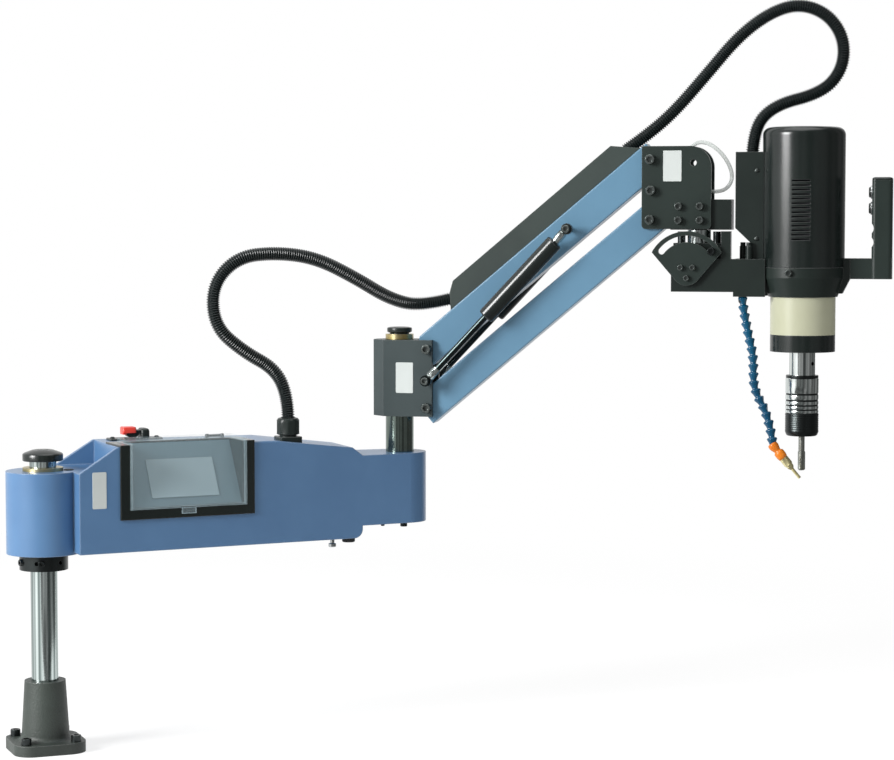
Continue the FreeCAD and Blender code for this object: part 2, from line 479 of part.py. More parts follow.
def make_housing():
    """The hollow cast arm with its two hub bores, its cover and what it holds."""
    shell = box_shell()
    ceiling = BOX_ROOF_Z - BOX_WALL
    recess_end, recess_floor = ROOF_START + RECESS_END_WALL, HUB_TOP_Z - BOX_WALL
    cavity_profile = [(CAVITY_START, BOX_FOOT_Z - 1), (CAVITY_START, recess_floor), (recess_end, recess_floor),
                      (recess_end, ceiling), (ROOF_END, ceiling), (CAVITY_END, roof_z(CAVITY_END) - BOX_WALL),
                      (CAVITY_END, BOX_FOOT_Z - 1)]
    cavity = box_plan(CAVITY_START, CAVITY_END, BOX_WALL, BOX_FOOT_Z - 1, BOX_ROOF_Z)
    cavity = cavity.common(side_slab(cavity_profile, -BOX_HALF_WIDTH, BOX_HALF_WIDTH))
    bush_r = COLUMN_R + FIT + BUSH_WALL
    x0, x1 = display_span(0)
    body = shell.cut(cavity).cut(cover_plate_room(0)).cut(rod(HUB_R, HUB_TOP_Z, Vec(0, 0, HUB_TOP_Z)))
    body = body.cut(rod(bush_r, HUB_TOP_Z - HUB_FOOT_Z, Vec(0, 0, HUB_FOOT_Z)))
    body = body.cut(rod(BUSH_FLANGE_R, BUSH_FLANGE_THICK, Vec(0, 0, HUB_FOOT_Z)))
    body = body.cut(rod(SHAFT_R, ELBOW_HUB_TOP_Z, Vec(ARM_REACH, 0, ELBOW_HUB_FOOT_Z + ELBOW_SOCKET_FLOOR)))
    body = body.cut(framed(FACE, wedge(PANEL_THICK, x0, x1)))
    save("box_casting", body)
    save("bottom_cover", cover_plate_room(GAP))

    def bush(z, along):
        bore_r = COLUMN_R + FIT
        return turned([(bore_r, -BUSH_FLANGE_THICK), (BUSH_FLANGE_R, -BUSH_FLANGE_THICK), (BUSH_FLANGE_R, 0),
                       (bush_r, 0), (bush_r, BUSH_LENGTH), (bore_r, BUSH_LENGTH)], Vec(0, 0, z), along)

    save("hub_bushes", bush(HUB_TOP_Z, -Z), bush(HUB_FOOT_Z + BUSH_FLANGE_THICK, Z))
    drive_foot = BOX_FOOT_Z + COVER_PLATE_THICK
    drive = block(DRIVE_X, DRIVE_X + DRIVE_LENGTH, -DRIVE_HALF_WIDTH, DRIVE_HALF_WIDTH, drive_foot,
                  drive_foot + DRIVE_HEIGHT)
    save("servo_drive", rounded(drive, BOX_EDGE_R, lambda edge: runs(edge, Z)))
    save("rubber_foot", rod(BUMPER_R, BUMPER_HEIGHT, Vec(BUMPER_X, 0, BOX_FOOT_Z), -Z))
    return shell


# --- display ------------------------------------------------------------------------------------------------
def around_the_edge(x0, x1, foot, back, out, thick):
    """A sheet over the box's front face and roof, bent at the edge and standing clear of it."""
    front = block(x0, x1, -out - thick, -out, foot, BOX_ROOF_Z + out + thick)
    return front.fuse(block(x0, x1, -out - thick, back, BOX_ROOF_Z + out, BOX_ROOF_Z + out + thick))


def lid_hinge_places():
    """Where the two hinge knuckles start along the face."""
    x0, x1 = display_span(0)
    return [x0 + KNUCKLE_INSET, x1 - KNUCKLE_INSET - KNUCKLE_LENGTH]


def lid_axis():
    """The lid's hinge line at x = 0 of the face."""
    lid_back = DISPLAY_ROOF_DEPTH - DISPLAY_REAR_RIM + LID_OVERLAP
    return Vec(0, lid_back + KNUCKLE_SET_BACK, BOX_ROOF_Z + DISPLAY_PROUD + KNUCKLE_RISE)


def make_display():
    """Black frame around the recess, sloping panel with its screen, and the clear lid."""
    x0, x1 = display_span(0)
    opening_foot, opening_back = DISPLAY_FOOT_Z + DISPLAY_RIM, DISPLAY_ROOF_DEPTH - DISPLAY_REAR_RIM
    roof_top = BOX_ROOF_Z + DISPLAY_PROUD
    frame = around_the_edge(DISPLAY_START, DISPLAY_START + DISPLAY_WIDTH, DISPLAY_FOOT_Z, DISPLAY_ROOF_DEPTH, 0,
                            DISPLAY_PROUD)
    frame = frame.cut(block(x0 + CHEEK_WALL, x1 - CHEEK_WALL, -DISPLAY_PROUD - 1, opening_back, opening_foot,
                            roof_top + 1))
    cheeks = wedge(0, x0, x0 + CHEEK_WALL).fuse(wedge(0, x1 - CHEEK_WALL, x1))
    frame = frame.fuse(cheeks.common(block(x0, x1, 0, opening_back + PANEL_THICK, opening_foot, BOX_ROOF_Z)))
    axis = lid_axis()
    for start in lid_hinge_places():
        for ear_at in (start - EAR_THICK - GAP, start + KNUCKLE_LENGTH + GAP):
            ear = rod(KNUCKLE_R, EAR_THICK, axis + Vec(ear_at, 0, 0), X)
            foot = block(ear_at, ear_at + EAR_THICK, axis.y - KNUCKLE_R, axis.y + KNUCKLE_R, roof_top, axis.z)
            frame = frame.fuse(ear).fuse(foot)
        frame = frame.fuse(rod(LID_PIN_R, KNUCKLE_LENGTH + 2 * GAP, axis + Vec(start - GAP, 0, 0), X))
    save("display_frame", framed(FACE, frame.removeSplitter()))
    panel = wedge(PANEL_THICK, x0, x1).cut(wedge(0, x0, x1))
    save("display_panel", framed(FACE, panel.common(block(x0, x1, 0, DISPLAY_ROOF_DEPTH, 0, BOX_ROOF_Z))))
    lean = degrees(atan2(opening_back, BOX_ROOF_Z - opening_foot))
    middle_x = (x0 + x1) / 2 + SCREEN_SHIFT
    half_screen = SCREEN_WIDTH / 2
    screen = block(-half_screen, half_screen, -SCREEN_THICK, 0, SCREEN_RISE, SCREEN_RISE + SCREEN_HEIGHT)
    seat = FreeCAD.Placement(Vec(middle_x, 0, opening_foot), FreeCAD.Rotation(X, -lean))
    save("display_screen", framed(FACE, framed(seat, screen)))

    out = DISPLAY_PROUD + GAP
    x0, x1 = display_span(-LID_OVERLAP)
    foot, back = opening_foot - LID_OVERLAP, opening_back + LID_OVERLAP
    lid = around_the_edge(x0, x1, foot, back, out, LID_DEPTH)
    lid = lid.cut(block(x0, x1, -out, back, foot, BOX_ROOF_Z + out))
    hollow = around_the_edge(x0 + PANE, x1 - PANE, foot + PANE, back - PANE, out - GAP, LID_DEPTH - PANE + GAP)
    lid = rounded(lid, PANE / 2, lambda edge: runs(edge, X) and abs(middle(edge).y + out + LID_DEPTH) < 0.01)
    lid = lid.cut(hollow)
    latch_x = (x0 + x1) / 2
    latch = block(latch_x - LATCH_WIDTH / 2, latch_x + LATCH_WIDTH / 2, -out - LID_DEPTH / 2, -out,
                  foot - LATCH_DROP, foot + PANE)
    lid = lid.fuse(latch)
    for start in lid_hinge_places():
        knuckle = rod(KNUCKLE_R, KNUCKLE_LENGTH, axis + Vec(start, 0, 0), X)
        web = block(start, start + KNUCKLE_LENGTH, back, axis.y, axis.z, axis.z + KNUCKLE_R)
        hole = rod(LID_PIN_R + FIT, KNUCKLE_LENGTH, axis + Vec(start, 0, 0), X)
        lid = lid.fuse(knuckle).fuse(web).cut(hole)
    save("display_lid", framed(FACE, lid.removeSplitter()))


# --- switch and gland ---------------------------------------------------------------------------------------
def make_switch():
    """Switch box on its base plate, with the red rocker in a pocket."""
    foot = BOX_ROOF_Z
    top = foot + SWITCH_PLATE_THICK + SWITCH_BOX_HEIGHT
    half_length, half_width = SWITCH_BOX_LENGTH / 2, SWITCH_BOX_WIDTH / 2
    plate_length, plate_width = SWITCH_PLATE_LENGTH / 2, SWITCH_PLATE_WIDTH / 2
    plate = block(SWITCH_X - plate_length, SWITCH_X + plate_length, SWITCH_Y - plate_width,
                  SWITCH_Y + plate_width, foot, foot + SWITCH_PLATE_THICK)
    plate = rounded(plate, BOX_EDGE_R, lambda edge: runs(edge, Z))
    box = block(SWITCH_X - half_length, SWITCH_X + half_length, SWITCH_Y - half_width, SWITCH_Y + half_width,
                foot, top)
    pivot = Vec(SWITCH_X + ROCKER_SHIFT, SWITCH_Y, top - ROCKER_DROP)
    reach, half_rocker = ROCKER_LENGTH / 2 + ROCKER_ROOM, ROCKER_WIDTH / 2
    pocket = block(pivot.x - reach, pivot.x + reach, pivot.y - half_rocker - FIT, pivot.y + half_rocker + FIT,
                   pivot.z - ROCKER_BELLY - ROCKER_ROOM, top + 1)
    axle_half = half_rocker + ROCKER_PIVOT_R / 2
    body = plate.fuse(box).cut(pocket)
    body = body.cut(rod(ROCKER_PIVOT_R + FIT, 2 * (axle_half + FIT), pivot - Vec(0, axle_half + FIT, 0), Y))
    save("switch_body", body)
    half = ROCKER_LENGTH / 2
    paddle = side_slab([(-half, 0), (-half, ROCKER_HORN), (0, ROCKER_SADDLE), (half, ROCKER_HORN), (half, 0)],
                       -half_rocker, half_rocker)
    belly = rod(ROCKER_BELLY, ROCKER_WIDTH, Vec(0, -half_rocker, 0), Y)
    axle = rod(ROCKER_PIVOT_R, 2 * axle_half, Vec(0, -axle_half, 0), Y)
    seat = FreeCAD.Placement(pivot, FreeCAD.Rotation(Y, ROCKER_TILT))
    save("switch_rocker", framed(seat, paddle.fuse(belly).fuse(axle).removeSplitter()))


def make_gland(shell):
    """Hose gland: a square foot cut to the roof's slope, a hexagon and a domed nut."""
    foot = roof_z(GLAND_X + GLAND_PLATE_SIDE / 2) - 1
    plate_top = roof_z(GLAND_X) + GLAND_PLATE_THICK
    half = GLAND_PLATE_SIDE / 2
    plate = block(GLAND_X - half, GLAND_X + half, GLAND_Y - half, GLAND_Y + half, foot, plate_top)
    nut_top = plate_top + GLAND_NUT_HEIGHT
    dome = Part.makeCone(GLAND_DOME_R, GLAND_MOUTH_R, GLAND_TOP_Z - nut_top, Vec(GLAND_X, GLAND_Y, nut_top))
    nut = hexagon(GLAND_NUT_FLATS, GLAND_NUT_HEIGHT, Vec(GLAND_X, GLAND_Y, plate_top))
    save("hose_gland", plate.fuse(nut).fuse(dome).cut(shell))


# --- elbow --------------------------------------------------------------------------------------------------
def make_elbow():
    """Shaft fixed in the box arm's hub, with its nut and cap, and the pivot block that turns on it."""
    foot = Vec(ARM_REACH, 0, ELBOW_HUB_FOOT_Z + ELBOW_SOCKET_FLOOR)
    shoulder = BLOCK_TOP_Z - BLOCK_ROOF - GAP
    nut_foot = BLOCK_TOP_Z + GAP
    cap_foot = nut_foot + SHAFT_NUT_THICK
    shaft = rod(SHAFT_R, shoulder - foot.z, foot)
    shaft = shaft.fuse(rod(SHAFT_END_R, cap_foot - shoulder, Vec(ARM_REACH, 0, shoulder)))
    save("elbow_shaft", shaft)
    save("shaft_nut", ring(SHAFT_NUT_R, SHAFT_END_R, SHAFT_NUT_THICK, Vec(ARM_REACH, 0, nut_foot)))
    cap = rod(SHAFT_CAP_R, SHAFT_CAP_THICK, Vec(ARM_REACH, 0, cap_foot))
    save("shaft_cap", rounded(cap, SHAFT_CAP_THICK / 4,
                              lambda edge: abs(middle(edge).z - cap_foot - SHAFT_CAP_THICK) < 0.01))
    nose = BLOCK_HALF - BLOCK_CHAMFER
    plan = [(BLOCK_BACK, -nose), (BLOCK_BACK + BLOCK_CHAMFER, -BLOCK_HALF), (BLOCK_FRONT, -BLOCK_HALF),
            (BLOCK_FRONT, BLOCK_HALF), (BLOCK_BACK + BLOCK_CHAMFER, BLOCK_HALF), (BLOCK_BACK, nose)]
    body = plan_slab(plan, BLOCK_FOOT_Z, BLOCK_TOP_Z)
    body = body.cut(rod(SHAFT_SOCKET_R, BLOCK_TOP_Z - BLOCK_ROOF - BLOCK_FOOT_Z, Vec(0, 0, BLOCK_FOOT_Z)))
    body = body.cut(rod(SHAFT_END_R + FIT, BLOCK_TOP_Z, Vec(0, 0, BLOCK_FOOT_Z)))
    body = body.cut(block(FORK_START, BLOCK_FRONT + 1, -FORK_HALF, FORK_HALF, BLOCK_FOOT_Z, BLOCK_TOP_Z))
    for z in (UPPER_PIVOT_Z, LOWER_PIVOT_Z):
        body = body.cut(rod(PIVOT_BOLT_D / 2, 2 * BLOCK_HALF, Vec(PIVOT_X, -BLOCK_HALF, z), Y))
    body = body.cut(rod(STUD_D / 2, 2 * BLOCK_HALF, SPRING_FOOT - Vec(0, BLOCK_HALF, 0), Y))
    save("pivot_block", on_arm(body))
    bushes = [ring(SHAFT_SOCKET_R, SHAFT_R + FIT, BLOCK_BUSH_LENGTH, Vec(0, 0, z))
              for z in (BLOCK_FOOT_Z, BLOCK_TOP_Z - BLOCK_ROOF - BLOCK_BUSH_LENGTH)]
    save("block_bushes", *[on_arm(bush) for bush in bushes])
    bolts = through_bolt(PIVOT_BOLT_D, BLOCK_HALF, PIVOT_X, UPPER_PIVOT_Z)
    bolts += through_bolt(PIVOT_BOLT_D, BLOCK_HALF, PIVOT_X, LOWER_PIVOT_Z)
    studs = both_sides(lambda side: spring_stud(side, FORK_HALF + GAP, SPRING_FOOT))
    save("block_bolts", *[on_arm(bolt) for bolt in (*bolts, *studs)])


# --- links and gas springs ----------------------------------------------------------------------------------
def spring_stud(side, root, at):
    """The screw that a spring's eye turns on, on one side of the arm."""
    seat = SPRING_OFFSET + EYE_HALF + GAP
    return cap_screw(STUD_D, seat - root, Vec(at.x, side * seat, at.z), Vec(0, -side, 0))


def link_bar():
    """A link along its own axis from the rear pivot: a flat bar with its top rear corner bevelled."""
    half = BAR_DEPTH / 2
    front = LINK_LENGTH + BAR_END
    bar = side_slab([(-BAR_END, -half), (front, -half), (front, half), (BAR_BEVEL - BAR_END, half),
                     (-BAR_END, half - BAR_BEVEL)], -BAR_HALF, BAR_HALF)
    bar = rounded(bar, BAR_EDGE_R, lambda edge: runs(edge, X))
    for x in (0, LINK_LENGTH):
        bar = bar.cut(rod(PIVOT_BOLT_D / 2 + FIT, 2 * BAR_HALF, Vec(x, -BAR_HALF, 0), Y))
    return bar


def duct_profile(inset):
    """Outline of the hose duct along the link, drawn in by the sheet's thickness."""
    foot, top = BAR_DEPTH / 2 + GAP, BAR_DEPTH / 2 + DUCT_HEIGHT - inset
    shoulder = DUCT_START + DUCT_MOUTH_RUN
    return [(DUCT_START + inset, foot), (shoulder + inset, foot + DUCT_MOUTH_RISE - inset),
            (shoulder + DUCT_SHOULDER_RUN + inset / 2, top), (DUCT_END - DUCT_TAIL_RUN - inset / 2, top),
            (DUCT_END - inset, foot)]


def hose_hole(start, end):
    """A hole for a corrugated hose, through whatever lies near the start of its run."""
    heading = Vec(*end) - Vec(*start)
    heading.normalize()
    return rod(HOSE_R + 1, 6 * HOSE_R, Vec(*start) - heading * (2 * HOSE_R), heading)


def make_links():
    """Upper link with the hose duct on it, lower link, and the studs of the gas springs."""
    upper = link_bar().cut(rod(STUD_D / 2, 2 * BAR_HALF, Vec(SPRING_HEAD, -BAR_HALF, 0), Y))
    save("upper_link", on_link(upper))
    save("lower_link", on_link(link_bar(), LINK_SPACING))
    outer = side_slab(duct_profile(0), -DUCT_HALF, DUCT_HALF)
    inner = side_slab(duct_profile(DUCT_WALL), DUCT_WALL - DUCT_HALF, DUCT_HALF - DUCT_WALL)
    inner = inner.fuse(block(DUCT_START + 2 * DUCT_WALL, DUCT_END - 2 * DUCT_WALL, DUCT_WALL - DUCT_HALF,
                             DUCT_HALF - DUCT_WALL, BAR_DEPTH / 2, BAR_DEPTH / 2 + 2 * DUCT_WALL))
    duct = on_link(outer.cut(inner))
    duct = duct.cut(hose_hole(ARM_HOSE[-1], ARM_HOSE[-2])).cut(on_arm(hose_hole(HEAD_HOSE[0], HEAD_HOSE[1])))
    save("hose_duct", duct)
    save("spring_studs", *[on_arm(stud) for stud in
                           both_sides(lambda side: spring_stud(side, BAR_HALF / 2, SPRING_TOP))])


def make_springs():
    """Two gas springs: barrels on the upper link and rods on the pivot block."""
    axis = SPRING_TOP - SPRING_FOOT
    axis.normalize()

    def eye(at, heading, reach):
        centre = Vec(at.x, at.y - EYE_HALF, at.z)
        hole = rod(STUD_D / 2 + FIT, 2 * EYE_HALF, centre, Y)
        return rod(EYE_R, 2 * EYE_HALF, centre, Y).fuse(rod(EYE_NECK_R - 1, reach, at, heading)).cut(hole)

    def barrel(side):
        at = SPRING_TOP + Vec(0, side * SPRING_OFFSET, 0)
        tube = turned([(0, BARREL_START), (BARREL_R - 2, BARREL_START), (BARREL_R, BARREL_START + 2),
                       (BARREL_R, BARREL_END - 2), (BARREL_R - 1, BARREL_END), (BARREL_BORE_R, BARREL_END),
                       (BARREL_BORE_R, BARREL_START + EYE_R), (0, BARREL_START + EYE_R)], at, -axis)
        return on_arm(eye(at, -axis, BARREL_START + 1).fuse(tube))

    def plunger(side):
        at = SPRING_FOOT + Vec(0, side * SPRING_OFFSET, 0)
        neck = turned([(0, EYE_R), (EYE_NECK_R, EYE_R), (EYE_NECK_R, EYE_NECK), (ROD_R, EYE_NECK),
                       (ROD_R, ROD_REACH), (0, ROD_REACH)], at, axis)
        return on_arm(eye(at, axis, EYE_R + 1).fuse(neck))

    save("spring_barrels", *both_sides(barrel))
    save("spring_rods", *both_sides(plunger))


# --- head bracket -------------------------------------------------------------------------------------------
def head_plate(side):
    """One bracket plate with its rounded corners, bolt holes and eye."""
    x0, x1 = HEAD_PIVOT_X - PLATE_BACK, HEAD_PIVOT_X + PLATE_FRONT
    z1 = HEAD_PIVOT_Z + PLATE_ABOVE
    face = FORK_HALF if side > 0 else -PLATE_HALF
    plate = block(x0, x1, face, face + PLATE_THICK, PLATE_FOOT_Z, z1)
    plate = rounded(plate, PLATE_TOP_R, lambda edge: runs(edge, Y) and middle(edge).x > x1 - 1
                    and middle(edge).z > z1 - 1)
    plate = rounded(plate, PLATE_CORNER_R, lambda edge: runs(edge, Y) and middle(edge).z < PLATE_FOOT_Z + 1)
    holes = [(HEAD_PIVOT_X, HEAD_PIVOT_Z, PIVOT_BOLT_D / 2),
             (HEAD_PIVOT_X, HEAD_PIVOT_Z - LINK_SPACING, PIVOT_BOLT_D / 2),
             (HEAD_PIVOT_X + STOP_BOLT_X, HEAD_PIVOT_Z - STOP_BOLT_DROP, PIVOT_BOLT_D / 2),
             (PLATE_EYE_X, PLATE_EYE_Z, PLATE_EYE_R)]
    holes += [(x, HEAD_BLOCK_FOOT_Z + rise, HEAD_SCREW_D / 2)
              for x in HEAD_SCREW_XS for rise in HEAD_SCREW_RISES]
    for x, z, radius in holes:
        plate = plate.cut(rod(radius, PLATE_THICK, Vec(x, face, z), Y))
    return on_head(plate)


def make_head():
    """Bracket at the front of the links: two plates, the block between them, bolts and the stop sleeve."""
    save("head_plates", *both_sides(head_plate))
    top = HEAD_BLOCK_FOOT_Z + HEAD_BLOCK_HEIGHT
    body = block(HEAD_BLOCK_START, HEAD_BLOCK_END, -FORK_HALF, FORK_HALF, HEAD_BLOCK_FOOT_Z, top)
    body = body.cut(rod(SWIVEL_POST_R + FIT, HEAD_BLOCK_HEIGHT, Vec(SWIVEL_X, 0, HEAD_BLOCK_FOOT_Z)))
    screws = []
    for side in (-1, 1):
        for x in HEAD_SCREW_XS:
            for rise in HEAD_SCREW_RISES:
                length, at = PLATE_THICK + HEAD_SCREW_GRIP, Vec(x, side * PLATE_HALF, HEAD_BLOCK_FOOT_Z + rise)
                screws.append(cap_screw(HEAD_SCREW_D, length, at, Vec(0, -side, 0)))
                body = body.cut(rod(HEAD_SCREW_D / 2, length, at, Vec(0, -side, 0)))
    save("head_block", on_head(body))
    stop_x, stop_z = HEAD_PIVOT_X + STOP_BOLT_X, HEAD_PIVOT_Z - STOP_BOLT_DROP
    bolts = through_bolt(PIVOT_BOLT_D, PLATE_HALF, HEAD_PIVOT_X, HEAD_PIVOT_Z)
    bolts += through_bolt(PIVOT_BOLT_D, PLATE_HALF, HEAD_PIVOT_X, HEAD_PIVOT_Z - LINK_SPACING)
    bolts += through_bolt(PIVOT_BOLT_D, PLATE_HALF, stop_x, stop_z)
    sleeve_start = Vec(stop_x, GAP / 2 - FORK_HALF, stop_z)
    sleeve = ring(STOP_SLEEVE_R, PIVOT_BOLT_D / 2, 2 * FORK_HALF - GAP, sleeve_start, Y)
    save("head_bolts", *[on_head(bolt) for bolt in (*bolts, sleeve, *screws)])


# --- swivel -------------------------------------------------------------------------------------------------
def make_swivel():
    """Chrome post in the head block, and the swivel block that hangs on it."""
    flange_top = HEAD_BLOCK_FOOT_Z - GAP
    nut_foot = HEAD_BLOCK_FOOT_Z + HEAD_BLOCK_HEIGHT + GAP
    root = SWIVEL_BLOCK_TOP_Z - SWIVEL_POST_ROOT
    post = rod(SWIVEL_POST_R, nut_foot + POST_NUT_THICK - root, Vec(SWIVEL_X, 0, root))
    flange = rod(SWIVEL_FLANGE_R, flange_top - SWIVEL_BLOCK_TOP_Z, Vec(SWIVEL_X, 0, SWIVEL_BLOCK_TOP_Z))
    save("swivel_post", on_head(post.fuse(flange)))
    half = SWIVEL_BLOCK_SIDE / 2
    body = block(SWIVEL_X - half, SWIVEL_X + half, -SWIVEL_BLOCK_NEAR, SWIVEL_BLOCK_FAR, SWIVEL_BLOCK_FOOT_Z,
                 SWIVEL_BLOCK_TOP_Z)
    body = body.cut(rod(SWIVEL_POST_R, SWIVEL_POST_ROOT, Vec(SWIVEL_X, 0, root)))
    body = body.cut(rod(TILT_PIN_R + FIT, 2 * SWIVEL_BLOCK_SIDE, Vec(TILT_X, -SWIVEL_BLOCK_SIDE, TILT_Z), Y))
    lock_x, lock_z = TILT_X + LOCK_BOLT_X, TILT_Z + LOCK_BOLT_Z
    body = body.cut(rod(LOCK_BOLT_D / 2, LOCK_BOLT_GRIP, Vec(lock_x, -SWIVEL_BLOCK_NEAR, lock_z), Y))
    save("swivel_block", on_head(body))
    nut = ring(POST_NUT_R, SWIVEL_POST_R, POST_NUT_THICK, Vec(SWIVEL_X, 0, nut_foot))
    stops = both_sides(lambda side: rod(STOP_SCREW_R, STOP_SCREW_HEIGHT,
                                        Vec(SWIVEL_X + side * STOP_SCREW_REACH, 0, SWIVEL_BLOCK_TOP_Z)))
    washer_y = SECTOR_FACE_Y - GAP
    lock_length = LOCK_BOLT_GRIP - SWIVEL_BLOCK_NEAR - washer_y
    lock = cap_screw(LOCK_BOLT_D, lock_length, Vec(lock_x, washer_y, lock_z), Y)
    spacer_end = CHEEK_FACE_Y + GAP
    spacer_length = -SWIVEL_BLOCK_NEAR - spacer_end
    spacer = ring(LOCK_SPACER_R, LOCK_BOLT_D / 2, spacer_length, Vec(lock_x, spacer_end, lock_z), Y)
    save("swivel_fasteners", *[on_head(piece) for piece in (nut, *stops, lock, spacer)])


# --- tilting head -------------------------------------------------------------------------------------------
def motor_room(radius, z0, z1):
    """A cylinder on the motor axis."""
    return rod(radius, z1 - z0, Vec(MOTOR_X, 0, z0))


def make_tilt_arm():
    """Cheek, foot and tube lug in one casting, with the pin that turns in the swivel block."""
    cheek = block(CHEEK_START, FOOT_END, CHEEK_FACE_Y, CHEEK_BACK_Y, SWIVEL_BLOCK_FOOT_Z, CHEEK_TOP_Z)
    foot = block(FOOT_START, FOOT_END, CHEEK_FACE_Y, SWIVEL_BLOCK_FAR, FOOT_FOOT_Z, CHEEK_TOP_Z)
    lug = block(LUG_START, LUG_START + LUG_WIDTH, CHEEK_FACE_Y, CHEEK_BACK_Y, CHEEK_TOP_Z, LUG_TOP_Z)
    pin_end = SWIVEL_BLOCK_FAR + GAP + PIN_NUT_THICK
    pin = rod(TILT_PIN_R, pin_end - CHEEK_BACK_Y, Vec(TILT_X, CHEEK_BACK_Y, TILT_Z), Y)
    body = cheek.fuse(foot).fuse(lug).fuse(pin).cut(motor_room(MOTOR_R + GAP, FOOT_FOOT_Z, CHEEK_TOP_Z))
    screws = []
    for turn in SECTOR_SCREW_TURNS:
        x = TILT_X + SECTOR_SCREW_R * cos(radians(turn))
        z = TILT_Z + SECTOR_SCREW_R * sin(radians(turn))
        at = Vec(x, SECTOR_FACE_Y, z)
        screws.append(cap_screw(SECTOR_SCREW_D, SECTOR_SCREW_LENGTH, at, Y))
        body = body.cut(rod(SECTOR_SCREW_D / 2, SECTOR_SCREW_LENGTH, at, Y))
    save("tilt_arm", on_head(body.removeSplitter()))
    nut = ring(PIN_NUT_R, TILT_PIN_R, PIN_NUT_THICK, Vec(TILT_X, SWIVEL_BLOCK_FAR + GAP, TILT_Z), Y)
    clamp_z = (CLAMP_TOP_Z + CLAMP_STEP_Z) / 2
    clamp_y = -sqrt(MOTOR_R**2 - CLAMP_SCREW_X**2)
    seat = Vec(MOTOR_X + CLAMP_SCREW_X, clamp_y, clamp_z)
    clamp_screw = cap_screw(CLAMP_SCREW_D, CLAMP_SCREW_LENGTH, seat, Y)
    save("tilt_fasteners", *[on_head(piece) for piece in (*screws, nut, clamp_screw)])
    head_room = 0.75 * CLAMP_SCREW_D + GAP
    return rod(CLAMP_SCREW_D / 2, CLAMP_SCREW_LENGTH, seat, Y), rod(head_room, CLAMP_SCREW_D, seat, -Y)


def polar(radius, turn):
    """A point of the sector plate about the tilt pin."""
    return Vec(TILT_X + radius * cos(radians(turn)), SECTOR_FACE_Y, TILT_Z + radius * sin(radians(turn)))


def arc_between(radius, start, end):
    """An arc of the sector plate about the tilt pin."""
    return Part.Arc(polar(radius, start), polar(radius, (start + end) / 2), polar(radius, end)).toShape()


def make_sector():
    """Slotted plate that locks the tilt: an arc above, tangent flanks and a round foot."""
    first, last = SECTOR_FROM - SECTOR_MARGIN, SECTOR_TO + SECTOR_MARGIN
    flank = degrees(acos(SECTOR_FOOT_R / SECTOR_R))
    edges = [arc_between(SECTOR_R, first, last),
             Part.LineSegment(polar(SECTOR_R, last), polar(SECTOR_FOOT_R, last + flank)).toShape(),
             arc_between(SECTOR_FOOT_R, last + flank, first - flank + 360),
             Part.LineSegment(polar(SECTOR_FOOT_R, first - flank + 360), polar(SECTOR_R, first)).toShape()]
    plate = Part.Face(Part.Wire(Part.__sortEdges__(edges))).extrude(Vec(0, SECTOR_THICK, 0))
    inner, outer = SECTOR_SLOT_R - SECTOR_SLOT_HALF, SECTOR_SLOT_R + SECTOR_SLOT_HALF
    sides = [arc_between(outer, SECTOR_FROM, SECTOR_TO), arc_between(inner, SECTOR_FROM, SECTOR_TO),
             Part.LineSegment(polar(inner, SECTOR_FROM), polar(outer, SECTOR_FROM)).toShape(),
             Part.LineSegment(polar(inner, SECTOR_TO), polar(outer, SECTOR_TO)).toShape()]
    slot = Part.Face(Part.Wire(Part.__sortEdges__(sides))).extrude(Vec(0, SECTOR_THICK, 0))
    plate = plate.cut(slot)
    for turn in (SECTOR_FROM, SECTOR_TO):
        plate = plate.cut(rod(SECTOR_SLOT_HALF, SECTOR_THICK, polar(SECTOR_SLOT_R, turn), Y))
    for turn in SECTOR_SCREW_TURNS:
        plate = plate.cut(rod(SECTOR_SCREW_D / 2, SECTOR_THICK, polar(SECTOR_SCREW_R, turn), Y))
    save("sector_plate", on_head(plate))


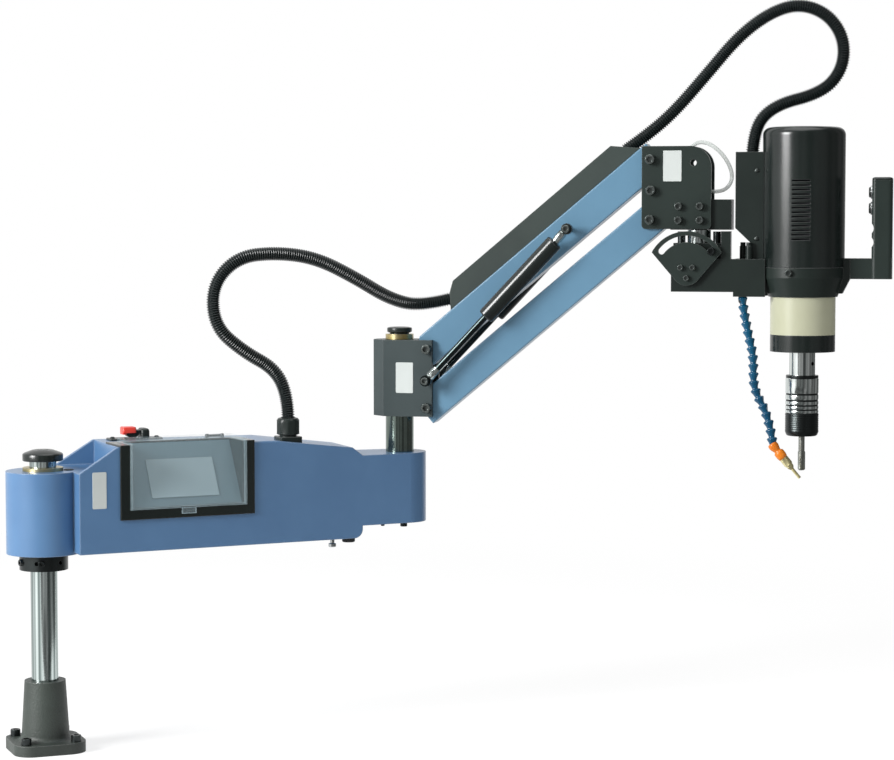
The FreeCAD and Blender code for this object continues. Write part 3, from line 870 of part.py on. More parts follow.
def make_motor(screw_holes):
    """Clamp around the gearbox, servo motor under its vented cover, gearbox and cream sleeve."""
    at = Vec(MOTOR_X, 0, 0)
    clamp = turned([(CORE_R, CLAMP_FOOT_Z), (CLAMP_FOOT_R, CLAMP_FOOT_Z), (MOTOR_R, CLAMP_STEP_Z),
                    (MOTOR_R, CLAMP_TOP_Z), (CORE_R, CLAMP_TOP_Z)], at)
    lug = side_slab([(MOTOR_X, HANDLE_ARM_TOP_Z), (HANDLE_START, HANDLE_ARM_TOP_Z),
                     (HANDLE_START, HANDLE_FOOT_Z), (HANDLE_LUG_FOOT_X, HANDLE_LUG_FOOT_Z),
                     (MOTOR_X, HANDLE_LUG_FOOT_Z)], -HANDLE_ARM_HALF, HANDLE_ARM_HALF)
    lug = lug.cut(motor_room(CORE_R, CLAMP_FOOT_Z, CLAMP_TOP_Z))
    lug = lug.cut(motor_room(MOTOR_R + GAP, CLAMP_TOP_Z, HANDLE_ARM_TOP_Z))
    clamp = clamp.fuse(lug)
    for hole in screw_holes:
        clamp = clamp.cut(hole)
    save("motor_clamp", on_head(clamp.removeSplitter()))
    cover = motor_room(MOTOR_R, CLAMP_TOP_Z + GAP, MOTOR_TOP_Z)
    cover = rounded(cover, MOTOR_TOP_R, lambda edge: abs(middle(edge).z - MOTOR_TOP_Z) < 0.01)
    hollow = motor_room(MOTOR_R - MOTOR_WALL, CLAMP_TOP_Z, MOTOR_TOP_Z - MOTOR_WALL)
    hollow = rounded(hollow, MOTOR_TOP_R - MOTOR_WALL,
                     lambda edge: abs(middle(edge).z - MOTOR_TOP_Z + MOTOR_WALL) < 0.01)
    cover = cover.cut(hollow)
    for k in range(VENT_COUNT):
        z = VENT_TOP_Z - k * VENT_PITCH
        cover = cover.cut(block(MOTOR_X - VENT_WIDTH / 2, MOTOR_X + VENT_WIDTH / 2, -MOTOR_R - 1, MOTOR_R + 1,
                                z - VENT_HEIGHT / 2, z + VENT_HEIGHT / 2))
    save("motor_cover", on_head(cover))
    half = SERVO_SIDE / 2
    servo = block(MOTOR_X - half, MOTOR_X + half, -half, half, CLAMP_TOP_Z, SERVO_TOP_Z)
    save("servo_motor", on_head(rounded(servo, MOTOR_TOP_R / 2, lambda edge: runs(edge, Z))))
    gearbox = turned([(0, GEARBOX_FOOT_Z), (SLEEVE_R, GEARBOX_FOOT_Z), (SLEEVE_R, SLEEVE_FOOT_Z),
                      (CORE_R, SLEEVE_FOOT_Z), (CORE_R, CLAMP_TOP_Z), (0, CLAMP_TOP_Z)], at)
    journal = SPINDLE_REACH + GAP
    gearbox = gearbox.cut(motor_room(SPINDLE_JOURNAL_R + FIT, GEARBOX_FOOT_Z, GEARBOX_FOOT_Z + journal))
    save("gearbox", on_head(gearbox))
    sleeve = ring(SLEEVE_R, CORE_R, SLEEVE_LENGTH, Vec(MOTOR_X, 0, SLEEVE_FOOT_Z))
    save("gearbox_sleeve", on_head(sleeve))


def side_cover_slab(inset, front):
    """Outline of the sheet cover beside the motor, drawn in by its thickness."""
    back, foot, half = SIDE_COVER_START + inset, CHEEK_TOP_Z + GAP, SIDE_COVER_HALF - inset
    top, waist = SIDE_COVER_TOP_Z - inset, SIDE_COVER_WAIST + inset
    profile = [(back, top), (front, top), (front, foot - inset), (waist, foot - inset),
               (waist, SIDE_COVER_WAIST_Z + inset / 2), (back, SIDE_COVER_SLOPE_Z + inset / 2)]
    return side_slab(profile, -half, half)


def make_side_cover():
    """Thin box between the swivel and the motor, where the hose comes in."""
    outer = side_cover_slab(0, MOTOR_X).cut(motor_room(MOTOR_R + GAP, CHEEK_TOP_Z, SIDE_COVER_TOP_Z))
    cover = outer.cut(side_cover_slab(SIDE_COVER_WALL, MOTOR_X))
    save("side_cover", on_head(cover.cut(hose_hole(HEAD_HOSE[-1], HEAD_HOSE[-2]))))


def make_handle():
    """Handle with finger grooves and two push buttons in its near face."""
    grip_end = GRIP_START + GRIP_WIDTH
    arm = block(HANDLE_START + GAP, grip_end, -HANDLE_ARM_HALF, HANDLE_ARM_HALF, HANDLE_FOOT_Z,
                HANDLE_ARM_TOP_Z)
    grip = block(GRIP_START, grip_end, -GRIP_HALF, GRIP_HALF, HANDLE_FOOT_Z, GRIP_TOP_Z)
    grip = rounded(grip, GRIP_EDGE_R, lambda edge: runs(edge, Z))
    body = arm.fuse(grip)
    for z in GROOVE_ZS:
        groove_start = Vec(GRIP_START - GROOVE_R + GROOVE_DEPTH, -GRIP_HALF, z)
        body = body.cut(rod(GROOVE_R, 2 * GRIP_HALF, groove_start, Y))
    for z in BUTTON_ZS:
        depth = BUTTON_ROOT + BUTTON_TRAVEL + GAP
        body = body.cut(rod(BUTTON_R + FIT, depth, Vec(GRIP_START, 0, z), X))
    save("handle", on_head(body.removeSplitter()))
    for name, z in zip(("upper_button", "lower_button"), BUTTON_ZS):
        face = GRIP_START - BUTTON_PROUD
        button = rod(BUTTON_R, BUTTON_PROUD + BUTTON_ROOT, Vec(face, 0, z), X)
        button = rounded(button, BUTTON_PROUD / 3,
                         lambda edge: middle(edge).x < face + 0.01 and edge.Length > BUTTON_R)
        save(name, on_head(button))


def make_fittings():
    """Push-in fittings on the foot, and the coolant fitting under it."""
    mouth_r = FITTING_R - 1
    pieces = [turned([(0, 0), (FITTING_R, 0), (FITTING_R, FITTING_HEIGHT - 6), (mouth_r, FITTING_HEIGHT - 5),
                      (mouth_r, FITTING_HEIGHT), (0, FITTING_HEIGHT)], Vec(x, y, CHEEK_TOP_Z))
              for x, y in FITTING_PLACES]
    ball = Vec(*COOLANT_ROUTE[0]) + Vec(0, 0, COOLANT_BALL_R + GAP)
    pieces.append(Part.makeSphere(COOLANT_BALL_R, ball).fuse(rod(COOLANT_BALL_R, FOOT_FOOT_Z - ball.z, ball)))
    save("fittings", *[on_head(piece) for piece in pieces])


# --- spindle ------------------------------------------------------------------------------------------------
def make_spindle():
    """Spindle in the gearbox, quick-change chuck with its grip ring, and the tap."""
    at = Vec(MOTOR_X, 0, 0)
    shoulder = GEARBOX_FOOT_Z - GAP
    spindle = turned([(0, SPINDLE_FOOT_Z), (SPINDLE_R, SPINDLE_FOOT_Z), (SPINDLE_R, shoulder),
                      (SPINDLE_JOURNAL_R, shoulder), (SPINDLE_JOURNAL_R, shoulder + SPINDLE_REACH),
                      (0, shoulder + SPINDLE_REACH)], at)
    hole_z = (SPINDLE_FOOT_Z + shoulder) / 2
    facing = radians(SET_SCREW_TURN)
    spindle = spindle.cut(rod(SET_SCREW_HOLE_R, SPINDLE_R, Vec(MOTOR_X, 0, hole_z),
                              Vec(cos(facing), sin(facing), 0)))
    save("spindle", on_head(spindle))
    chuck = turned([(0, CHUCK_FOOT_Z), (CHUCK_NOSE_R, CHUCK_FOOT_Z), (CHUCK_NOSE_R, CHUCK_RING_Z),
                    (CHUCK_R, CHUCK_RING_Z), (CHUCK_R, SPINDLE_FOOT_Z - 1), (CHUCK_R - 1, SPINDLE_FOOT_Z),
                    (0, SPINDLE_FOOT_Z)], at)
    for k in range(CHUCK_GROOVE_COUNT):
        z = CHUCK_RING_Z + CHUCK_GROOVE_PITCH * (k + 0.5)
        groove = motor_room(CHUCK_R + 1, z, z + CHUCK_GROOVE_WIDTH)
        chuck = chuck.cut(groove.cut(motor_room(CHUCK_R - CHUCK_GROOVE_DEPTH, z, z + CHUCK_GROOVE_WIDTH)))
    save("chuck", on_head(chuck.cut(motor_room(TAP_SHANK_R, CHUCK_FOOT_Z, CHUCK_FOOT_Z + TAP_GRIP))))
    grip = turned([(CHUCK_NOSE_R, CHUCK_FOOT_Z), (CHUCK_R - 2, CHUCK_FOOT_Z), (CHUCK_R, CHUCK_FOOT_Z + 2),
                   (CHUCK_R, CHUCK_RING_Z), (CHUCK_NOSE_R, CHUCK_RING_Z)], at)
    save("chuck_ring", on_head(grip))
    thread_top = TAP_FOOT_Z + TAP_THREAD
    tap = turned([(0, TAP_FOOT_Z), (TAP_R / 2, TAP_FOOT_Z), (TAP_R, TAP_FOOT_Z + TAP_POINT),
                  (TAP_R, thread_top), (TAP_SHANK_R, thread_top + 1), (TAP_SHANK_R, CHUCK_FOOT_Z + TAP_GRIP),
                  (0, CHUCK_FOOT_Z + TAP_GRIP)], at)
    for k in range(3):
        turn = 2 * pi * k / 3
        flute_foot = Vec(MOTOR_X + TAP_R * cos(turn), TAP_R * sin(turn), TAP_FOOT_Z)
        tap = tap.cut(rod(TAP_FLUTE_R, TAP_THREAD, flute_foot))
    save("tap", on_head(tap))


# --- coolant hose -------------------------------------------------------------------------------------------
def make_coolant_hose():
    """A chain of ball-jointed segments that keeps its set, ending in the nozzle."""
    line = Part.BSplineCurve()
    line.interpolate([Vec(*point) for point in COOLANT_ROUTE])
    count = int(line.length() / SEGMENT_PITCH)
    pitch = line.length() / count
    stations = [line.value(line.parameterAtDistance(k * pitch)) for k in range(count + 1)]
    segments = []
    for here, there in zip(stations, stations[1:]):
        span = (there - here).Length - GAP
        segments.append(turned([(0, 0), (SEGMENT_NECK_R, 0), (SEGMENT_R, 0.35 * span), (SEGMENT_R, 0.85 * span),
                                (SEGMENT_NECK_R, span), (0, span)], here, there - here))
    save("coolant_hose", *[on_head(segment) for segment in segments])
    root, tip = stations[-1], Vec(*NOZZLE_TIP)
    reach = (tip - root).Length
    nozzle = turned([(0, NOZZLE_SET_OFF), (NOZZLE_BALL_R, NOZZLE_SET_OFF), (NOZZLE_ROOT_R, 0.15 * reach),
                     (NOZZLE_ROOT_R, 0.3 * reach), (NOZZLE_TIP_R + 1, 0.5 * reach), (NOZZLE_TIP_R, reach),
                     (0, reach)], root, tip - root)
    save("coolant_nozzle", on_head(nozzle))


# --- free hoses ---------------------------------------------------------------------------------------------
def make_hoses():
    """Corrugated hoses and the clear air tube, each piece between two neighbouring bodies."""
    rear, front = cord_tubes("arm_hose", ARM_HOSE, HOSE_R, ARM_HOSE_RUN_COUNTS)
    save("arm_hose_rear", rear)
    save("arm_hose_front", front)
    start, loop, end = cord_tubes("head_hose", HEAD_HOSE, HOSE_R, HEAD_HOSE_RUN_COUNTS)
    save("head_hose_start", on_arm(start))
    save("head_hose_loop", on_arm(loop))
    save("head_hose_end", on_arm(end))
    save("air_tube", on_arm(cord_tubes("air_tube", AIR_TUBE, AIR_TUBE_R)[0]))


make_base()
make_collar_and_cap()
outside = make_housing()
make_display()
make_switch()
make_gland(outside)
make_elbow()
make_links()
make_springs()
make_head()
make_swivel()
clamp_screw_holes = make_tilt_arm()
make_sector()
make_motor(clamp_screw_holes)
make_side_cover()
make_handle()
make_fittings()
make_spindle()
make_coolant_hose()
make_hoses()
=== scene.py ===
"""Looks of the arm tapping machine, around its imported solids.

Row frame in metres: X along the box arm, Y across it, Z up.  Places and sizes of pieces are in millimetres,
and those of finishes, lamps and the studio in metres.  The lifting arm has a frame of its own (x along it, y
across it, z up), which starts at the elbow axis and is turned about it.  Shapes are grids worked out with
numpy: a profile turned about an axis, or a ring carried along a path.
"""
from math import atan2, cos, hypot, pi, radians, sin

import bpy
import numpy as np
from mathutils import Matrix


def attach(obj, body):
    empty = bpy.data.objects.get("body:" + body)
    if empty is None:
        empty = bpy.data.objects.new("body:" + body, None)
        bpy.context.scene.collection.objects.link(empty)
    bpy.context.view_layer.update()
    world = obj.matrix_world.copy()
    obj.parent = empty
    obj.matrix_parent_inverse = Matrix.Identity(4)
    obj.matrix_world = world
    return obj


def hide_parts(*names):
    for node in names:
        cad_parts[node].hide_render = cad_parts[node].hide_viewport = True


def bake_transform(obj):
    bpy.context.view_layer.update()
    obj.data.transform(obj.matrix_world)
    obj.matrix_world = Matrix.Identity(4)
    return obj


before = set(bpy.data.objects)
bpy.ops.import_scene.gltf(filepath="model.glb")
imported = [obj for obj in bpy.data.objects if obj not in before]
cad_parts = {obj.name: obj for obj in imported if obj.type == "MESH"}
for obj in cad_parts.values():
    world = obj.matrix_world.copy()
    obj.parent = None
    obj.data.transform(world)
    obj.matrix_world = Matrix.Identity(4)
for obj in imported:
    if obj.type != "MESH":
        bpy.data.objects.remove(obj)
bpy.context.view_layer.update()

MM = 0.001
X, Y, Z = np.eye(3)


def linked(name, data):
    """A new object of some data, in the scene."""
    made = bpy.data.objects.new(name, data)
    bpy.context.scene.collection.objects.link(made)
    return made


# --- camera -------------------------------------------------------------------------------------------------
CAMERA_PLACE, CAMERA_TILT, CAMERA_TURN = (-0.829, -3.656, 0.798), 86.224, -22.0
SENSOR_WIDTH, LENS, CLIP = 36.0, 100.67, (0.1, 50)

camera = linked("camera", bpy.data.cameras.new("camera"))
camera.data.sensor_width, camera.data.lens = SENSOR_WIDTH, LENS
camera.data.clip_start, camera.data.clip_end = CLIP
camera.location = CAMERA_PLACE
camera.rotation_euler = (radians(CAMERA_TILT), 0, radians(CAMERA_TURN))
bpy.context.scene.camera = camera

# --- frames -------------------------------------------------------------------------------------------------
ARM_START, ARM_TURN = (568.0, 0.0), -34.0          # elbow axis, and the lifting arm's turn about it
FACE_START, FACE_TAPER = (36.0, -80.0), 4.183      # left end of the box arm's near side, and its taper


def row(points):
    """Points in millimetres in the row frame, as metres."""
    return np.asarray(points, float) * MM


def set_in_row(points, start, turn):
    """Points of a frame that starts at (x, y) and is turned about Z by degrees, as metres in the row's."""
    x, y, z = np.moveaxis(np.asarray(points, float), -1, 0)
    c, s = cos(radians(turn)), sin(radians(turn))
    return row(np.stack([start[0] + x * c - y * s, start[1] + x * s + y * c, z], -1))


def arm(points):
    """Points in the lifting arm's frame, as metres in the row frame."""
    return set_in_row(points, ARM_START, ARM_TURN)


def face(points):
    """Points on the box arm's near side (x along it, y into the box, z up), as metres in the row frame."""
    return set_in_row(points, FACE_START, FACE_TAPER)


# --- surfaces -----------------------------------------------------------------------------------------------
CORNER_STEPS, LEAST_CORNER = 8, 0.05               # points on a rounded corner, and its least radius


def closed(grid):
    """Points, corners and face sizes of a tube of rings: neighbours make quads, and each end ring a fan."""
    rings, sides = grid.shape[:2]
    points = np.concatenate([grid.reshape(-1, 3), [grid[0].mean(0), grid[-1].mean(0)]])
    i, j = np.meshgrid(np.arange(rings - 1), np.arange(sides), indexing="ij")
    here, there = i * sides + j, i * sides + (j + 1) % sides
    quads = np.stack([here, there, there + sides, here + sides], -1)
    k = np.arange(sides)
    last_ring, first_hub = (rings - 1) * sides, rings * sides
    first = np.stack([np.full(sides, first_hub), (k + 1) % sides, k], -1)
    last = np.stack([np.full(sides, first_hub + 1), last_ring + k, last_ring + (k + 1) % sides], -1)
    corners = np.concatenate([quads.ravel(), first.ravel(), last.ravel()])
    return points, corners, np.repeat([4, 3], [(rings - 1) * sides, 2 * sides])


def fitted(name, grid, finish, body, smooth=35.0, holds=()):
    """A closed piece of a named finish on a body."""
    points, corners, sizes = closed(grid)
    mesh = bpy.data.meshes.new(name)
    mesh.vertices.add(len(points))
    mesh.vertices.foreach_set("co", points.astype(np.float32).ravel())
    mesh.loops.add(len(corners))
    mesh.loops.foreach_set("vertex_index", corners.astype(np.int32))
    mesh.polygons.add(len(sizes))
    mesh.polygons.foreach_set("loop_start", np.concatenate([[0], np.cumsum(sizes)[:-1]]).astype(np.int32))
    mesh.polygons.foreach_set("loop_total", sizes.astype(np.int32))
    mesh.update(calc_edges=True)
    mesh.validate()
    mesh.polygons.foreach_set("use_smooth", np.ones(len(mesh.polygons), bool))
    mesh.set_sharp_from_angle(angle=radians(smooth))
    mesh.materials.append(finishes[finish].material)
    piece = linked(name, mesh)
    if body:
        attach(piece, body)
    if holds:
        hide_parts(*holds)
    return piece


def unit(vectors):
    """Vectors at length one."""
    return vectors / np.linalg.norm(vectors, axis=-1, keepdims=True)


def turned(profile, at, along, sides, ripple=None):
    """A profile of (radius r, height h) turned about an axis.

    Its points are at + along h + (r + ripple) (across cos t + up sin t), for t once round.
    """
    along = unit(np.asarray(along, float))
    across = unit(np.cross(along, Y if abs(along[1]) < 0.9 else X))
    up = np.cross(along, across)
    r, h = np.asarray(profile, float).T
    t = np.arange(sides) * 2 * pi / sides
    radius = np.broadcast_to(r[:, None], (len(r), sides))
    if ripple is not None:
        radius = radius + ripple(np.arange(len(r))[:, None], t[None, :])
    spokes = across * np.cos(t)[:, None] + up * np.sin(t)[:, None]
    return np.asarray(at, float) + along * h[:, None, None] + radius[..., None] * spokes


def cornered(profile, count, rows):
    """How far each ring of a profile is drawn in to a polygon of count sides, on the rows given.

    It is r (cos(step / 2) / cos(t - step / 2) - 1) within each step of t, and nought on the other rows.
    """
    r = np.asarray(profile, float)[:, 0][:, None]
    step = 2 * pi / count
    return lambda row_number, t: np.where(np.isin(row_number, rows), r * (
        cos(step / 2) / np.cos(np.mod(t, step) - step / 2) - 1), 0.0)


def lengths(path):
    """Distance along a path of points, from its start."""
    return np.concatenate([[0], np.cumsum(np.linalg.norm(np.diff(path, axis=0), axis=1))])


def along_path(path, stations):
    """Points of a path at distances along it, and the path's directions there."""
    at = lengths(path)
    points = np.stack([np.interp(stations, at, path[:, k]) for k in range(3)], -1)
    tangents = unit(np.gradient(path, at, axis=0))
    return points, unit(np.stack([np.interp(stations, at, tangents[:, k]) for k in range(3)], -1))


def carried(path, stations, radius, across, sides):
    """Rings carried along a path: point + radius (side cos t + over sin t).

    side is square to the path and to across, and over is square to the path and to side.
    """
    points, tangents = along_path(path, stations)
    side = unit(np.cross(tangents, across))
    over = np.cross(tangents, side)
    t = np.arange(sides) * 2 * pi / sides
    spokes = side[:, None, :] * np.cos(t)[:, None] + over[:, None, :] * np.sin(t)[:, None]
    return points[:, None, :] + np.asarray(radius)[..., None, None] * spokes


def ring_of(half_wide, half_high, corner):
    """Points around a rounded rectangle: a quarter circle of the corner radius at each corner's centre."""
    t = np.linspace(0, pi / 2, CORNER_STEPS)
    turn = np.concatenate([t + k * pi / 2 for k in range(4)])
    wide, high = np.repeat([1, -1, -1, 1], CORNER_STEPS), np.repeat([1, 1, -1, -1], CORNER_STEPS)
    return np.stack([wide * (half_wide - corner) + corner * np.cos(turn),
                     high * (half_high - corner) + corner * np.sin(turn)], -1)


def raised(half_wide, half_high, corner, levels):
    """A rounded rectangle carried upwards through levels (inset, height): its sides lie in by the inset."""
    rings = []
    for inset, height in levels:
        ring = ring_of(half_wide - inset, half_high - inset, max(corner - inset, LEAST_CORNER))
        rings.append(np.column_stack([ring, np.full(len(ring), height)]))
    return np.stack(rings)


def standing(grid, at):
    """A raised grid stood on a level surface at a point: u along x, v along y, height along z."""
    return grid + np.asarray(at, float)


def facing(grid, at):
    """A raised grid laid against a near side at a point: u along x, v along z, height out of that side."""
    u, v, h = np.moveaxis(grid, -1, 0)
    return np.stack([u, -h, v], -1) + np.asarray(at, float)


# --- finishes: nodes ----------------------------------------------------------------------------------------
BEVEL_SAMPLES = 4
RIM_TURN = (0.01, 0.12)                            # lean of a softened normal where a rim starts and is full


def tone(red, green, blue):
    """An 8-bit colour as linear red, green, blue, alpha."""
    shares = np.array([red, green, blue]) / 255
    linear = np.where(shares <= 0.04045, shares / 12.92, ((shares + 0.055) / 1.055) ** 2.4)
    return (*[float(v) for v in linear], 1.0)


class Value:
    """An output of some nodes: sums, differences and products on it add Math nodes."""

    def __init__(self, nodes, socket):
        self.nodes, self.socket = nodes, socket

    def math(self, operation, *others):
        return self.nodes.node("ShaderNodeMath", {"operation": operation}, dict(enumerate((self, *others))))

    def __add__(self, other):
        return self.math("ADD", other)

    def __mul__(self, other):
        return self.math("MULTIPLY", other)

    def __sub__(self, other):
        return self.math("SUBTRACT", other)

    def __rsub__(self, other):
        return self.nodes.node("ShaderNodeMath", {"operation": "SUBTRACT"}, {0: other, 1: self})

    __radd__, __rmul__ = __add__, __mul__

    def between(self, low, high):
        """0 below low, 1 above high, smooth between them."""
        return self.nodes.node("ShaderNodeMapRange", {"interpolation_type": "SMOOTHSTEP"},
                               {"Value": self, "From Min": low, "From Max": high})


class Nodes:
    """The nodes of a material or a world."""

    def __init__(self, owner):
        owner.use_nodes = True
        self.tree = owner.node_tree
        self.tree.nodes.clear()

    def add(self, kind, settings, sockets):
        """A node of a kind: its settings first, then its sockets' values or links."""
        made = self.tree.nodes.new(kind)
        for key, setting in settings.items():
            setattr(made, key, setting)
        for key, value in sockets.items():
            socket = made.inputs[key]
            if isinstance(value, Value):
                self.tree.links.new(value.socket, socket)
            else:
                socket.default_value = value
        return made

    def node(self, kind, settings, sockets, out=0):
        """One output of a new node."""
        return Value(self, self.add(kind, settings, sockets).outputs[out])

    def seen(self):
        """1 for a ray from the camera, off a gloss or through glass, and 0 for a ray that lights."""
        path = self.add("ShaderNodeLightPath", {}, {})
        camera_ray, glossy, through = (Value(self, path.outputs[key]) for key in (
            "Is Camera Ray", "Is Glossy Ray", "Is Transmission Ray"))
        return camera_ray.math("MAXIMUM", glossy).math("MAXIMUM", through)


class Finish(Nodes):
    """One finish: a Principled shader whose colour, roughness and relief are worked out by nodes."""

    def __init__(self, name, **shader):
        self.name, self.material = name, bpy.data.materials.new(name)
        super().__init__(self.material)
        sockets = {key.replace("_", " "): value for key, value in shader.items()}
        self.shader = self.add("ShaderNodeBsdfPrincipled", {}, sockets)
        self.output = self.add("ShaderNodeOutputMaterial", {},
                               {"Surface": Value(self, self.shader.outputs[0])})
        self.place = self.node("ShaderNodeTexCoord", {}, {}, "Object")

    def feed(self, **sockets):
        """Link values to the shader's sockets."""
        for key, value in sockets.items():
            self.tree.links.new(value.socket, self.shader.inputs[key.replace("_", " ")])
        return self

    def show(self, surface):
        """Show another shader in the place of the Principled one."""
        self.tree.links.new(surface.socket, self.output.inputs["Surface"])
        self.tree.nodes.remove(self.shader)

    def noise(self, size, detail=2.0, roughness=0.5, place=None):
        """Noise whose lumps are about size metres across, from 0 to 1."""
        return self.node("ShaderNodeTexNoise", {}, {"Vector": place or self.place, "Scale": 1 / size,
                                                    "Detail": detail, "Roughness": roughness})

    def upright(self, scale):
        """Object coordinates scaled along Z: at 0 a pattern runs straight up, and above 1 it lies flat."""
        return self.node("ShaderNodeMapping", {}, {"Vector": self.place, "Scale": (1, 1, scale)})

    def mix(self, share, first, second):
        """A colour between two, by a share."""
        return self.node("ShaderNodeMix", {"data_type": "RGBA"}, {0: share, 6: first, 7: second}, 2)

    def softened(self, radius):
        """The normal rounded over edges by a radius, and a mask that is 1 on those edges."""
        rounded = self.node("ShaderNodeBevel", {"samples": BEVEL_SAMPLES}, {"Radius": radius})
        flat = self.node("ShaderNodeNewGeometry", {}, {}, "Normal")
        along = self.node("ShaderNodeVectorMath", {"operation": "DOT_PRODUCT"},
                          {0: rounded, 1: flat}, "Value")
        return rounded, (1 - along).between(*RIM_TURN)

    def relief(self, height, depth, strength=1.0, normal=None):
        """Bump of a height in metres over a normal."""
        sockets = {"Height": height, "Distance": depth, "Strength": strength}
        if normal is not None:
            sockets["Normal"] = normal
        return self.feed(Normal=self.node("ShaderNodeBump", {}, sockets))


# --- finishes: paints, plastics and metals ------------------------------------------------------------------
CLOUD, SMEAR, BLOTCH, MARK = 0.12, 0.05, 0.02, 0.004    # how far across each kind of unevenness is
SMEAR_GLOSS, BLOTCH_GLOSS, BAND_GLOSS = 0.06, 0.1, 0.08  # how much each changes the roughness
# RIM_PALER: how far towards white the painted highlight on edges goes
RIM_PALER, STAIN, MARK_DEPTH = 0.3, 0.86, 0.00004
DULL = {"Specular_IOR_Level": 0.3}


def paler(colour, share):
    """A linear colour moved towards white."""
    return (*[v + (1 - v) * share for v in colour[:3]], 1.0)


def coated(name, light, dark, roughness, grain, depth, edge, rim_highlight=0.0, **shader):
    """Paint or plastic: cloudy colour, a skin with a slight orange peel, and soft edges with a painted
    highlight along them.
    """
    finish = Finish(name, **shader)
    colour = finish.mix(finish.noise(CLOUD, 3.0, 0.6).between(0.3, 0.7), tone(*light), tone(*dark))
    normal = None
    if edge:
        normal, rim = finish.softened(edge)
        # painted highlight: the rim mask makes the edges paler
        colour = finish.mix(rim * rim_highlight, colour, paler(tone(*light), RIM_PALER))
    smeared = finish.noise(SMEAR) * SMEAR_GLOSS + (roughness - SMEAR_GLOSS / 2)
    finish.feed(Base_Color=colour, Roughness=smeared)
    return finish.relief(finish.noise(grain, 2.0, 0.6), depth, 1.0, normal)


def metal(name, colour, roughness, edge, streak=0.0, stain=None, marked=0.2):
    """Bare metal: faint blotches, stains and fine turning marks."""
    finish = Finish(name, Metallic=1.0)
    bare = tone(*colour)
    stained = tone(*stain) if stain else (*[STAIN * v for v in bare[:3]], 1.0)
    blotch = finish.noise(BLOTCH, 3.0, 0.6)
    finish.feed(Base_Color=finish.mix(blotch.between(0.35, 0.7), bare, stained),
                Roughness=blotch * BLOTCH_GLOSS + roughness)
    marks = finish.noise(MARK, place=finish.upright(24 if streak else 1))
    return finish.relief(marks, MARK_DEPTH * (1 + streak), marked, finish.softened(edge)[0] if edge else None)


def reflection_banded(name, light, dark, band, roughness):
    """Metal of upright round parts with painted reflections: light and dark bands about band metres wide run
    straight up them.
    """
    finish = Finish(name, Metallic=1.0)
    # painted reflections: light and dark bands up the part, in its base colour
    bands = finish.noise(band, 1.0, 0.6, finish.upright(0))
    finish.feed(Base_Color=finish.mix(bands.between(0.4, 0.6), tone(*light), tone(*dark)),
                Roughness=bands * BAND_GLOSS + roughness)
    return finish.relief(finish.noise(MARK, place=finish.upright(0.1)), MARK_DEPTH, 0.1)
